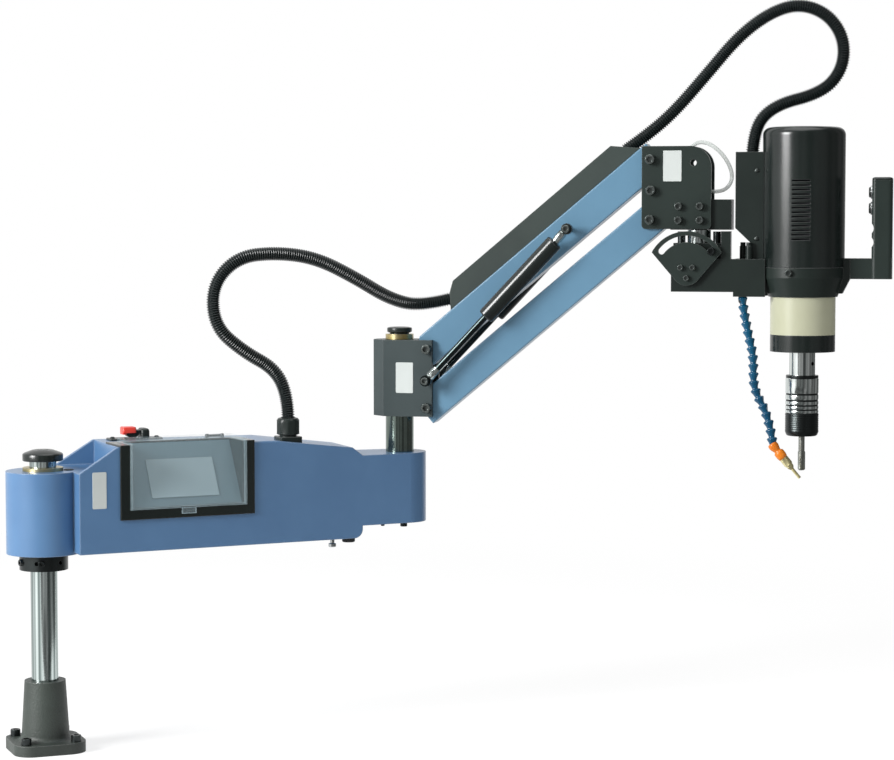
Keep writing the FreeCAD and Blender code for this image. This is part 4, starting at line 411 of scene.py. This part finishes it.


# coated: light and dark colour, roughness, grain's size and depth, soft edge's radius, share of painted
# highlight on the edge
# metal: colour, roughness, soft edge's radius; reflection_banded: light and dark colour of the painted
# reflection bands, width of a band, roughness
finishes = {finish.name: finish for finish in (
    coated("blue_paint", (79, 114, 151), (74, 108, 145), 0.3, 0.0014, 0.00004, 0.0022, 0.5),
    coated("black_paint", (29, 37, 34), (25, 32, 30), 0.34, 0.0012, 0.00005, 0.001, 0.35, **DULL),
    coated("black_sheet", (52, 61, 58), (47, 55, 53), 0.42, 0.0012, 0.00005, 0.0008, 0.3, **DULL),
    metal("black_steel", (58, 62, 62), 0.26, 0.0005),
    coated("dark_casting", (52, 60, 55), (40, 46, 42), 0.5, 0.0026, 0.0005, 0.0018, 0.3),
    metal("chrome", (196, 204, 202), 0.1, 0.0006, marked=0.1),
    metal("zinc", (176, 170, 140), 0.26, 0.0006, stain=(180, 162, 108)),
    metal("steel", (184, 188, 188), 0.22, 0.0006, streak=1.0),
    metal("tool_steel", (160, 163, 156), 0.3, 0.0003, marked=0.05),
    metal("motor_core", (90, 92, 96), 0.45, 0.0008),
    coated("black_plastic", (31, 38, 36), (26, 33, 31), 0.3, 0.0009, 0.00003, 0.0012, 0.2, **DULL),
    coated("panel_plastic", (90, 113, 122), (84, 107, 116), 0.4, 0.0009, 0.00003, 0.0004),
    coated("screen", (142, 161, 167), (134, 153, 159), 0.16, 0.002, 0.00001, 0.0004),
    coated("red_plastic", (222, 66, 52), (210, 54, 44), 0.3, 0.001, 0.00002, 0.0006, 0.3),
    coated("green_plastic", (36, 42, 40), (30, 36, 34), 0.3, 0.001, 0.00002, 0.0006, 0.2),
    coated("cream_plastic", (172, 173, 149), (164, 165, 139), 0.3, 0.001, 0.00002, 0.0006, 0.4),
    coated("blue_plastic", (2, 80, 112), (2, 66, 96), 0.18, 0.001, 0.00003, 0.0),
    coated("orange_plastic", (214, 120, 14), (198, 104, 8), 0.32, 0.001, 0.00003, 0.0),
    coated("rubber", (30, 32, 32), (24, 26, 26), 0.7, 0.001, 0.0001, 0.0004),
    coated("hose_plastic", (27, 33, 33), (22, 28, 28), 0.26, 0.001, 0.00002, 0.0),
    coated("clear_pane", (176, 196, 204), (168, 190, 198), 0.12, 0.002, 0.00001, 0.0),
    coated("clear_tube", (206, 212, 208), (196, 204, 200), 0.16, 0.002, 0.00001, 0.0, Alpha=0.55),
    coated("label_film", (188, 193, 190), (180, 186, 184), 0.4, 0.002, 0.00001, 0.0),
    metal("brass", (238, 228, 176), 0.34, 0.0, stain=(222, 206, 140), marked=0.05),
    metal("black_rod", (52, 60, 60), 0.16, 0.0),
    # chrome whose light and dark bands are painted reflections
    reflection_banded("reflection_banded_chrome", (214, 224, 222), (112, 124, 122), 0.009, 0.1),
    reflection_banded("reflection_banded_bright_chrome", (232, 238, 236), (150, 158, 156), 0.006, 0.12),
    # a darker copy of the chrome for the elbow shaft: painted shade of the dark surroundings it reflects
    metal("painted_shade_chrome", (112, 124, 118), 0.12, 0.0, marked=0.05),
    coated("cover_black", (21, 28, 26), (18, 24, 23), 0.22, 0.0012, 0.00003, 0.0016, 0.2),
    coated("side_black", (31, 39, 36), (27, 34, 32), 0.34, 0.0012, 0.00004, 0.0012, 0.4, **DULL),
    coated("block_grey", (55, 65, 66), (50, 60, 61), 0.42, 0.0014, 0.00006, 0.0012, 0.25, **DULL),
    # a paler, greyer copy of the blue paint for the links: painted light on them
    coated("blue_paint_painted_lit", (88, 125, 149), (83, 119, 143), 0.3, 0.0014, 0.00004, 0.0022, 0.5),
    metal("bolt_steel", (104, 110, 108), 0.28, 0.0005, marked=0.05),
    coated("plate_black", (36, 45, 42), (32, 41, 38), 0.36, 0.0012, 0.00005, 0.001, 0.4, **DULL),
)}

PANE_EDGE, PANE_SEEN, RIM_SEEN, ROOF_UNSEEN = 0.0016, 0.12, 0.62, 0.55
PANE_ROOF = (0.4605, 0.4625)                       # heights between which the lid's rims fade out
pane = finishes["clear_pane"]
height = pane.node("ShaderNodeSeparateXYZ", {}, {0: pane.place}, "Z")
pane_rim = pane.softened(PANE_EDGE)[1]
pane.feed(Alpha=pane_rim * (RIM_SEEN - height.between(*PANE_ROOF) * ROOF_UNSEEN) + PANE_SEEN)

NODES_OF = {
    "black_rod": ["spring_rods"],
    "cover_black": ["spring_barrels", "motor_cover", "display_frame", "gearbox"],
    "black_plastic": ["upper_button", "lower_button"],
    "painted_shade_chrome": ["elbow_shaft"],
    "side_black": ["side_cover"],
    "block_grey": ["pivot_block"],
    "plate_black": ["head_plates", "sector_plate", "handle"],
    "blue_paint_painted_lit": ["upper_link", "lower_link"],
    "bolt_steel": ["head_bolts", "block_bolts", "spring_studs", "tilt_fasteners"],
    "reflection_banded_chrome": ["column"],
    "reflection_banded_bright_chrome": ["spindle"],
}                                                  # nodes whose finish isn't the one that their slot names
own_finish = {node: finish for finish, nodes in NODES_OF.items() for node in nodes}
for node_name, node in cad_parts.items():
    for held in node.material_slots:
        held.material = finishes[own_finish.get(node_name, held.material.name.split(".")[0])].material

# --- cords --------------------------------------------------------------------------------------------------
HOSE_R = 10.5 * MM
HOSE_PITCH, HOSE_DEPTH, HOSE_SIDES, HOSE_STEPS = 3.6 * MM, 2.5 * MM, 28, 8
AIR_TUBE_R, AIR_TUBE_RINGS, AIR_TUBE_SIDES = 3.0 * MM, 120, 20
LINE_STEPS = 32                                    # points read from a spline between two points of its route
ARM_HOSE = [(375, -26, 486), (375, -26, 516), (357, -27, 562), (304, -28, 591), (258, -29, 630),
            (254, -30, 692), (294, -30, 735), (358, -29, 741), (422, -27, 732), (486, -25, 701),
            (543, -22, 668), (592, -27, 656), (636, -45.9, 668)]
HEAD_HOSE = [(356, 0, 897), (389, 0, 920), (430, 0, 955), (478, 0, 1010), (527, 0, 1068), (575, 0, 1103),
             (619, 0, 1115), (661, 0, 1098), (685, 0, 1060), (682, 0, 1015), (652, 0, 981), (579, 0, 963),
             (549, 0, 926), (548.5, 0, 878)]
AIR_TUBE = [(446, 4, 886), (456, 4, 906), (478, 4, 910), (502, 4, 893), (518, 4, 866), (517, 4, 845),
            (501, 4, 832), (480, 4, 834)]
ARM_HOSE_RUN, HEAD_HOSE_RUNS = 9, (2, 7)           # whole runs before each run that divides a hose
ARM_HOSE_BEND, HEAD_HOSE_BEND = (400, 0, 600), HEAD_HOSE[5]   # where one stretch starts and one ends its bend
arm_across = unit(arm((0, 1, 0)) - arm((0, 0, 0)))


def spline_line(route):
    """The line of a smooth spline over a route's points, as points read from the curve."""
    curve = bpy.data.curves.new("route", "CURVE")
    curve.dimensions, curve.resolution_u = "3D", LINE_STEPS
    spline = curve.splines.new("NURBS")
    spline.points.add(len(route) - 1)
    spline.points.foreach_set("co", np.column_stack([route, np.ones(len(route))]).ravel())
    spline.order_u, spline.use_endpoint_u = 3, True
    holder = bpy.data.objects.new("route", curve)
    line = bpy.data.meshes.new_from_object(holder)
    points = np.zeros(len(line.vertices) * 3)
    line.vertices.foreach_get("co", points)
    bpy.data.objects.remove(holder)
    bpy.data.curves.remove(curve)
    bpy.data.meshes.remove(line)
    return points.reshape(-1, 3)


def parts_of(route, counts):
    """A route divided in the middle of the run after each count of whole runs."""
    cuts = [(route[n] + route[n + 1]) / 2 for n in counts]
    starts, ends = [0, *[n + 1 for n in counts]], [*[n + 1 for n in counts], len(route)]
    pieces = []
    for number, (start, end) in enumerate(zip(starts, ends)):
        before = [cuts[number - 1]] if number else []
        after = [cuts[number]] if number < len(cuts) else []
        pieces.append(np.array([*before, *route[start:end], *after]))
    return pieces


def corrugated(name, route, across):
    """A corrugated hose: rings whose radius is R - depth (0.5 - 0.5 cos(2 pi s / pitch)) at a distance s."""
    path = spline_line(route)
    total = lengths(path)[-1]
    ribs = round(total / HOSE_PITCH)
    stations = np.linspace(0, total, ribs * HOSE_STEPS + 1)
    wave = 0.5 - 0.5 * np.cos(2 * pi * ribs * stations / total)
    rings = carried(path, stations, HOSE_R - HOSE_DEPTH * wave, across, HOSE_SIDES)
    return fitted(name, rings, "hose_plastic", None, smooth=60, holds=[name]), path, total


def declared(path):
    """Read every fourth point of a path and its last point; nothing is done with them."""
    path[::4].tolist() + [path[-1].tolist()]


rear, front = parts_of(row(ARM_HOSE), [ARM_HOSE_RUN])
start, loop, end = parts_of(arm(HEAD_HOSE), HEAD_HOSE_RUNS)
HOSES = [("arm_hose_rear", rear, Y, "box_arm", "elbow_block", row(ARM_HOSE_BEND), rear[-1]),
         ("arm_hose_front", front, Y, "elbow_block", "upper_link", front[0], front[-1]),
         ("head_hose_start", start, arm_across, "upper_link", "head", start[0], start[-1]),
         ("head_hose_loop", loop, arm_across, "head", "swivel", loop[0], arm(HEAD_HOSE_BEND)),
         ("head_hose_end", end, arm_across, "swivel", "tilt_arm", end[0], end[-1])]
for name, route, across, first_body, last_body, bend_start, bend_end in HOSES:
    hose, path, total = corrugated(name, route, across)
    declared(path)
    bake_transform(hose)

tube_path = spline_line(arm(AIR_TUBE))
tube_total = lengths(tube_path)[-1]
tube_rings = carried(tube_path, np.linspace(0, tube_total, AIR_TUBE_RINGS),
                     np.full(AIR_TUBE_RINGS, AIR_TUBE_R), arm_across, AIR_TUBE_SIDES)
tube = fitted("air_tube", tube_rings, "clear_tube", "head", holds=["air_tube"])
declared(tube_path)

# --- column, elbow and gas springs --------------------------------------------------------------------------
COLUMN_AXIS, ELBOW_AXIS = (0, 0, 0), (568, 0, 0)
CAP = [(29.4, 434), (30, 434.8), (30, 443), (29.4, 444.4), (27.5, 445.7), (16, 449.9), (12.6, 450.3),
       (11.6, 450.2), (11, 449.8), (8, 449.8), (7.4, 450.6), (2, 450.9)]
fitted("cap_dome", row(turned(CAP, COLUMN_AXIS, Z, 72)), "cover_black", "base",
       holds=["column_cap"])

COLLAR_Z, COLLAR_R, COLLAR_SCREW_ANGLES = 283.7, 36.0, (-168, -108)
SCREW_R, SCREW_HEIGHT, SCREW_SOCKET_R, SCREW_SUNK = 5.2, 6.5, 2.6, 3
BEVEL_FROM, BEVEL_TO, SOCKET_FLOOR = 0.86, 0.88, 0.45    # shares of a head's height, radius and height


def screw_head(place, along):
    """A cap screw's head with a six-sided socket, its foot at a place."""
    profile = [(SCREW_R, 0), (SCREW_R, BEVEL_FROM * SCREW_HEIGHT), (BEVEL_TO * SCREW_R, SCREW_HEIGHT),
               (SCREW_SOCKET_R, SCREW_HEIGHT), (SCREW_SOCKET_R, SOCKET_FLOOR * SCREW_HEIGHT)]
    return turned(profile, place, along, 36, cornered(profile, 6, [3, 4]))


for number, angle in enumerate(COLLAR_SCREW_ANGLES):
    out = np.array([cos(radians(angle)), sin(radians(angle)), 0])
    foot = out * (COLLAR_R - SCREW_SUNK) + COLLAR_Z * Z
    fitted(f"collar_screw_{number}", row(screw_head(foot, out)), "black_steel", "base")

SHAFT_CAP = [(15, 612.4), (15, 614), (17.6, 614.8), (19.3, 616), (19.5, 617.6), (19.5, 620.6), (18.8, 622.2),
             (15, 623.1), (12, 623.2), (11.4, 622.8), (4, 622.8)]
fitted("shaft_knob", row(turned(SHAFT_CAP, ELBOW_AXIS, Z, 64)), "black_plastic", "box_arm",
       holds=["shaft_cap"])
# a thin dark disc on the hub's top, near the box
HUB_DARK_DISC, HUB_DARK_DISC_AT = [(7.6, 418.8), (7.6, 419.6), (6.6, 420.2), (3, 420.3)], (37, -8, 0)
fitted("hub_dark_disc", row(turned(HUB_DARK_DISC, HUB_DARK_DISC_AT, Z, 32)), "rubber", "box_arm")

NECK = [(5.2, 7.5), (6.8, 9), (6.8, 21), (6, 22.4), (6, 26), (5.2, 27)]
ROD_PIN, BARREL_PIN, SPRING_Y = (52, 542), (272.03, 776.79), 44.5    # (x, z) of the pins, and the springs' y
SPRING_WAY = np.array([0.68371, 0, 0.72975])       # from the rod's pin to the barrel's
for side in (-1, 1):
    for (x, z), way, body in ((ROD_PIN, SPRING_WAY, "spring_rods"),
                              (BARREL_PIN, -SPRING_WAY, "spring_barrels")):
        neck = turned(NECK, (x, SPRING_Y * side, z), way, 36, cornered(NECK, 6, [1, 2]))
        fitted(f"{body}_neck", arm(neck), "chrome", body)

# --- chuck and tap ------------------------------------------------------------------------------------------
MOTOR_AXIS = (626.5, 0, 0)
BAND_R, BAND_EDGE_R, GROOVE_R, BAND_EDGE = 25.1, 24.9, 23.4, 0.4
CHUCK_BANDS = [(499.2, 503), (505.2, 509.4), (511.8, 516.6), (519.4, 526.2)]
SLEEVE_LOW, SLEEVE_HIGH, SLEEVE_TOP = 529, 551, 551.8
CHUCK_BODY = [*[point for low, high in CHUCK_BANDS for point in (
                  (GROOVE_R, low), (BAND_EDGE_R, low), (BAND_R, low + BAND_EDGE),
                  (BAND_R, high - BAND_EDGE), (BAND_EDGE_R, high), (GROOVE_R, high))],
              (GROOVE_R, SLEEVE_LOW), (BAND_EDGE_R, SLEEVE_LOW), (BAND_R, SLEEVE_LOW + BAND_EDGE),
              (BAND_R, SLEEVE_HIGH), (24.3, SLEEVE_TOP), (20.5, SLEEVE_TOP)]
CHUCK_CORE = [(24.2, 497.5), (24.2, 550), (24.5, 552.2), (24.5, 555.4), (24, 556), (20.5, 556)]
RIDGES, RIDGE = np.linspace(474, 494, 8), ((24.9, 0), (24.9, 0.8), (25.3, 1.0), (25.3, 1.8))
CHUCK_GRIP = [(12, 464), (21.6, 464), (23.4, 465.2), (25.3, 470), (25.3, 472.6),
              *[(radius, foot + height) for foot in RIDGES for radius, height in RIDGE],
              (25.3, 497.2), (24.9, 497.8), (13, 497.8)]
fitted("chuck_body", arm(turned(CHUCK_BODY, MOTOR_AXIS, Z, 96)), "reflection_banded_bright_chrome", "spindle",
       holds=["chuck"])
fitted("chuck_core", arm(turned(CHUCK_CORE, MOTOR_AXIS, Z, 72)), "black_steel", "spindle")
fitted("chuck_grip", arm(turned(CHUCK_GRIP, MOTOR_AXIS, Z, 96)), "black_steel", "spindle",
       holds=["chuck_ring"])

THREADS, THREAD_LOW, THREAD_STEP, THREAD_R, THREAD_DEPTH = 26, 414.6, 0.9, 5.8, 0.2
TAP = [(3.4, 411), (5.4, 412.2), (THREAD_R, 414),
       *[(THREAD_R - THREAD_DEPTH * (k % 2), THREAD_LOW + THREAD_STEP * k) for k in range(THREADS)],
       (THREAD_R, 438.5), (4.7, 440.5), (4.7, 466)]
FLUTES, FLUTE_DEPTH, FLUTE_SHARE, FLUTE_TURN, FLUTED_ROWS = 3, 2.1, 0.38, 0.5, THREADS + 4


def flutes(rows, t):
    """How far the tap's surface falls into its flutes: depth (cos(flutes t - turn) - (1 - share)) / share."""
    hollow = np.clip(np.cos(FLUTES * t - FLUTE_TURN) - (1 - FLUTE_SHARE), 0, 1) / FLUTE_SHARE
    return np.where(rows < FLUTED_ROWS, -FLUTE_DEPTH * hollow, 0.0)


fitted("tap_blade", arm(turned(TAP, MOTOR_AXIS, Z, 60, flutes)), "tool_steel", "spindle", smooth=25,
       holds=["tap"])

# --- coolant hose -------------------------------------------------------------------------------------------
COOLANT_LINE = [(535.5, 0, 674), (536.5, -1.5, 660), (540, -4, 642), (545.5, -7.5, 616), (552.4, -11, 590),
                (554.2, -14, 566), (554.2, -17, 546), (560, -19.5, 526), (571, -22, 507), (578.5, -25, 486),
                (583.5, -28, 466), (585.5, -29, 450)]
COOLANT_SEGMENTS, COOLANT_START_SHARE, COOLANT_TIP_R = 18, 0.9, 4.3
SEGMENT_PHASES = np.array([0, 0.04, 0.1, 0.18, 0.27, 0.36, 0.6, 0.84, 0.97])
SEGMENT_RADII = np.array([4.7, 6.3, 7.4, 7.9, 7.7, 7.0, 5.6, 4.7, 4.5])
coolant_path = spline_line(arm(COOLANT_LINE))
coolant_total = lengths(coolant_path)[-1]
phases = (np.arange(COOLANT_SEGMENTS)[:, None] + SEGMENT_PHASES).ravel() / COOLANT_SEGMENTS
coolant_radii = np.tile(SEGMENT_RADII, COOLANT_SEGMENTS) * np.clip(COOLANT_START_SHARE + 2 * phases, 0, 1)
coolant_rings = carried(coolant_path, np.append(phases, 1.0) * coolant_total,
                        np.append(coolant_radii, COOLANT_TIP_R) * MM, arm_across, 28)
fitted("coolant_segments", coolant_rings, "blue_plastic", "coolant", smooth=50, holds=["coolant_hose"])

NOZZLE_START, NOZZLE_END = np.array((584.6, -29, 452.0)), np.array((626.4, -29, 401.9))
nozzle_way = NOZZLE_END - NOZZLE_START
LOBES = [(4.4, -2), (6.9, -1.2), (7.7, 1), (7.6, 5), (6.4, 9), (5.4, 11.5), (5.5, 13), (7.4, 14.5), (8, 16.5),
         (7.9, 22), (7.1, 26), (5.6, 27)]
FERRULE = [(4.4, 26), (6.2, 26), (6.7, 27), (6.7, 38), (6.2, 39.4), (5.4, 40), (5, 44), (2.6, 47.5)]
JET = [(2.4, 46), (2.4, 65.2), (1.5, 65.2), (1.5, 60)]
fitted("nozzle_lobes", arm(turned(LOBES, NOZZLE_START, nozzle_way, 40)), "orange_plastic", "coolant",
       smooth=60, holds=["coolant_nozzle"])
fitted("nozzle_ferrule", arm(turned(FERRULE, NOZZLE_START, nozzle_way, 36, cornered(FERRULE, 6, [2, 3]))),
       "brass", "coolant")
fitted("nozzle_jet", arm(turned(JET, NOZZLE_START, nozzle_way, 24)), "brass", "coolant")

# --- hose gland and switch ----------------------------------------------------------------------------------
GLAND_AXIS = (375, -26, 0)
NUT = [(12, 459), (13.2, 459), (13.2, 462.4), (15.4, 462.6), (17.6, 463.8), (18, 465.5), (18, 481),
       (17.4, 484.6), (15.4, 487.6), (12.6, 488.6), (11.2, 488.4), (11, 484)]
GLAND_FOOT = raised(18, 18, 5, [(0, 448), (0, 459.2), (0.8, 460), (5.5, 460)])
fitted("gland_nut", row(turned(NUT, GLAND_AXIS, Z, 80, cornered(NUT, 10, [5, 6]))), "black_plastic",
       "box_arm", holds=["hose_gland"])
fitted("gland_foot", row(standing(GLAND_FOOT, GLAND_AXIS)), "black_plastic", "box_arm")

ROOF_Z, SWITCH_Y = 456.5, 44
PLATE = raised(41, 15, 3, [(0, 0), (0, 2.2), (0.7, 3)])
HOUSING = raised(7, 13, 5, [(0, 2), (0, 13), (0.9, 15.4), (2.4, 16.8), (4.6, 17.3)])
fitted("switch_plate", row(standing(PLATE, (152, SWITCH_Y, ROOF_Z))), "black_plastic", "box_arm",
       holds=["switch_body"])
fitted("switch_housing", row(standing(HOUSING, (166.2, SWITCH_Y, ROOF_Z))), "black_plastic", "box_arm")

ROCKER_PIVOT, DRUM_R, DRUM_HALF, DRUM_STEPS = (147, SWITCH_Y, 471.5), 11.6, 10, 24
sweep = np.linspace(pi, 2 * pi, DRUM_STEPS)
drum = np.stack([np.column_stack([DRUM_R * np.cos(sweep), np.full(DRUM_STEPS, y), DRUM_R * np.sin(sweep)])
                 for y in (DRUM_HALF, -DRUM_HALF)])
fitted("rocker_drum", row(drum + np.array(ROCKER_PIVOT)), "black_plastic", "switch_rocker")

SWITCH_SCREW, SWITCH_SCREW_X = [(3.8, 459), (3.8, 460.4), (2.6, 461.6), (1, 461.9)], (117.5, 186.5)
for number, x in enumerate(SWITCH_SCREW_X):
    fitted(f"switch_screw_{number}", row(turned(SWITCH_SCREW, (x, SWITCH_Y, 0), Z, 24)), "black_steel",
           "box_arm")
ROCKER_Y = 42
ROCKER_CAP = raised(10.5, 10, 2.4, [(0, 0), (0, 7.6), (0.8, 8.8), (2, 9.2)])
ROCKER_LEG = raised(3, 9, 1.2, [(0, 0), (0, 4)])
fitted("rocker_cap", row(standing(ROCKER_CAP, (141.5, ROCKER_Y, 467.4))), "red_plastic", "switch_rocker",
       holds=["switch_rocker"])
fitted("rocker_leg", row(standing(ROCKER_LEG, (134.2, ROCKER_Y, 465.2))), "red_plastic", "switch_rocker")

# --- plates, screws and small covers ------------------------------------------------------------------------
BLANK_LEVELS, BLANK_CORNER = [(0, -0.2), (0, 0.3), (0.2, 0.5)], 1.5
BLANKS = [("arm_label", face, (10.7, 27), (30.4, 0, 393.9), "box_arm"),
          ("block_label", arm, (13.7, 23.8), (14.6, -30, 545.4), "elbow_block"),
          ("head_label", arm, (14, 23.3), (430.3, -26, 872.1), "head")]
for name, placed, halves, at, body in BLANKS:
    blank = facing(raised(*halves, BLANK_CORNER, BLANK_LEVELS), at)
    fitted(name, placed(blank), "label_film", body, 15)

COVER_SCREW, COVER_SCREW_Z = [(3.4, -0.3), (3.4, 0.9), (2.5, 2.1), (1, 2.5)], (864.8, 762.5)
for number, z in enumerate(COVER_SCREW_Z):
    fitted(f"cover_screw_{number}", arm(turned(COVER_SCREW, (557.5, -22, z), -Y, 24)), "bolt_steel",
           "tilt_arm")
BUTTON_COLLAR, BUTTON_Z = [(8.4, -1), (10, -1), (10, 1.6), (9.4, 2.4), (8.4, 2.4)], (832, 808)
for number, z in enumerate(BUTTON_Z):
    fitted(f"button_collar_{number}", arm(turned(BUTTON_COLLAR, (728.5, 0, z), -X, 40)), "steel", "tilt_arm")
GRIP_CAP = raised(15.2, 15, 6, [(0, -0.4), (0, 2.4), (1.2, 3.8), (4, 4.6)])
fitted("grip_cap", arm(standing(GRIP_CAP, (743.8, 0, 850))), "black_plastic", "tilt_arm")

HUB_SCREWS, HUB_SCREW_TOP, HUB_SCREW_EDGE = [(565, -25, 5.5, 312), (528, -30, 3, 315)], 320, 0.6
for number, (x, y, radius, low) in enumerate(HUB_SCREWS):
    profile = [(radius - HUB_SCREW_EDGE, low), (radius, low + HUB_SCREW_EDGE), (radius, HUB_SCREW_TOP)]
    fitted(f"hub_screw_{number}", row(turned(profile, (x, y, 0), Z, 32)), "black_steel", "box_arm")
DRAIN_PLUG = [(5.2, 287), (6, 287.8), (6, 292), (3.4, 293), (3.4, 303)]
BUMPER = [(9, 293.4), (10, 294.6), (10, 300.4)]
fitted("drain_plug", row(turned(DRAIN_PLUG, (443, -35, 0), Z, 32)), "steel", "box_arm")
fitted("box_bumper", row(turned(BUMPER, (470, -34, 0), Z, 40)), "rubber", "box_arm", holds=["rubber_foot"])

# --- floor, background and light ----------------------------------------------------------------------------
WHITE = (1.0, 1.0, 1.0, 1.0)
FLOOR_HALF, FLOOR_GLOW = 40.0, 0.76
FLOOR_NEAR = (1.4, 2.6)                            # distances between which the floor turns to plain white
FLOOR_PLAIN, FLOOR_SHOWN = (0.8, 0.8, 0.8, 1), (0.3, 0.3, 0.3, 1)
SCREEN_SWEEP, SCREEN_STEPS, SCREEN_MIDDLE = (-146, 20), 40, (0.5, -0.1)
SCREEN_R, SCREEN_Z = np.array([0.45, 1.7, 1.7]), np.array([0.003, 0.003, 2.6])
SCREEN_DARK, SCREEN_DIM, SCREEN_BAND = 0.1, 0.62, 0.42
WORLD_LIGHT, AIM = 0.3, (0.5, -0.1, 0.55)
LAMPS = [("key_lamp", (-3.6, -1.0, 2.0), 1.8, 300), ("top_lamp", (0.6, -0.4, 3.4), 2.6, 38),
         ("fill_lamp", (2.2, -3.2, 1.2), 2.4, 12)]    # place, size and power


def stage_piece(name, points, faces, material):
    """A piece of the studio, which isn't part of the machine."""
    mesh = bpy.data.meshes.new(name)
    mesh.from_pydata(points, [], faces)
    mesh.materials.append(material)
    piece = linked(name, mesh)
    return piece


def glow(nodes, strength):
    """A white glow."""
    return nodes.node("ShaderNodeEmission", {}, {"Color": WHITE, "Strength": strength})


def make_floor():
    """A wide pale floor: near the machine it keeps the shadow, and further off it is white as the world."""
    finish = Finish("floor")
    away = finish.node("ShaderNodeVectorMath", {"operation": "LENGTH"}, {0: finish.place}, "Value")
    plain = finish.node("ShaderNodeBsdfDiffuse", {}, {"Color": FLOOR_PLAIN})
    shown = finish.node("ShaderNodeBsdfDiffuse", {}, {"Color": FLOOR_SHOWN})
    near = finish.node("ShaderNodeAddShader", {}, {0: shown, 1: glow(finish, FLOOR_GLOW)})
    far = glow(finish, 1.0)
    pale = finish.node("ShaderNodeMixShader", {}, {0: away.between(*FLOOR_NEAR), 1: near, 2: far})
    finish.show(finish.node("ShaderNodeMixShader", {}, {0: finish.seen(), 1: plain, 2: pale}))
    s = FLOOR_HALF
    stage_piece("floor", [(-s, -s, 0), (s, -s, 0), (s, s, 0), (-s, s, 0)], [(0, 1, 2, 3)], finish.material)


def make_dark_screen():
    """A dark tray and wall on the near right, which only reflections see.

    Its points are (middle + r cos t, middle + r sin t, z): r and z run up it, and t round the machine.
    """
    finish = Finish("dark_screen")
    x = finish.node("ShaderNodeSeparateXYZ", {}, {0: finish.place})
    bands = finish.noise(SCREEN_BAND, 0.0, 0.5, finish.upright(0)).between(0.42, 0.58)
    share = bands * (0.55 - x.between(-1.1, 1.9) * 0.3) + x.between(-0.4, -1.2) * 0.3
    dark, dim = glow(finish, SCREEN_DARK), glow(finish, SCREEN_DIM)
    finish.show(finish.node("ShaderNodeMixShader", {}, {0: share, 1: dark, 2: dim}))
    t = np.radians(np.linspace(*SCREEN_SWEEP, SCREEN_STEPS))
    grid = np.stack([SCREEN_MIDDLE[0] + SCREEN_R[:, None] * np.cos(t),
                     SCREEN_MIDDLE[1] + SCREEN_R[:, None] * np.sin(t), SCREEN_Z[:, None] + 0 * t], -1)
    i, j = np.meshgrid(np.arange(len(SCREEN_R) - 1), np.arange(SCREEN_STEPS - 1), indexing="ij")
    here = i * SCREEN_STEPS + j
    corners = np.stack([here, here + 1, here + SCREEN_STEPS + 1, here + SCREEN_STEPS], -1).reshape(-1, 4)
    screen = stage_piece("dark_screen", grid.reshape(-1, 3).tolist(), corners.tolist(), finish.material)
    screen.visible_camera = screen.visible_shadow = False
    screen.visible_diffuse = screen.visible_transmission = False


def make_world():
    """A world that lights plainly, and is white where the camera or a reflection sees it."""
    world = bpy.data.worlds.new("world")
    bpy.context.scene.world = world
    nodes = Nodes(world)
    dim, bright = (nodes.node("ShaderNodeBackground", {}, {"Color": WHITE, "Strength": strength})
                   for strength in (WORLD_LIGHT, 1.0))
    sky = nodes.node("ShaderNodeMixShader", {}, {0: nodes.seen(), 1: dim, 2: bright})
    nodes.add("ShaderNodeOutputWorld", {}, {"Surface": sky})


def make_lamp(name, place, size, power):
    """A large soft lamp at a place, turned towards the middle of the machine."""
    lamp = linked(name, bpy.data.lights.new(name, "AREA"))
    lamp.data.shape, lamp.data.size, lamp.data.energy = "SQUARE", size, power
    lamp.location = place
    away = np.subtract(place, AIM)
    lamp.rotation_euler = (atan2(hypot(away[0], away[1]), away[2]), 0, atan2(away[0], -away[1]))


make_floor()
make_dark_screen()
make_world()
for name, place, size, power in LAMPS:
    make_lamp(name, place, size, power)
bpy.context.scene.view_settings.view_transform = "Standard"
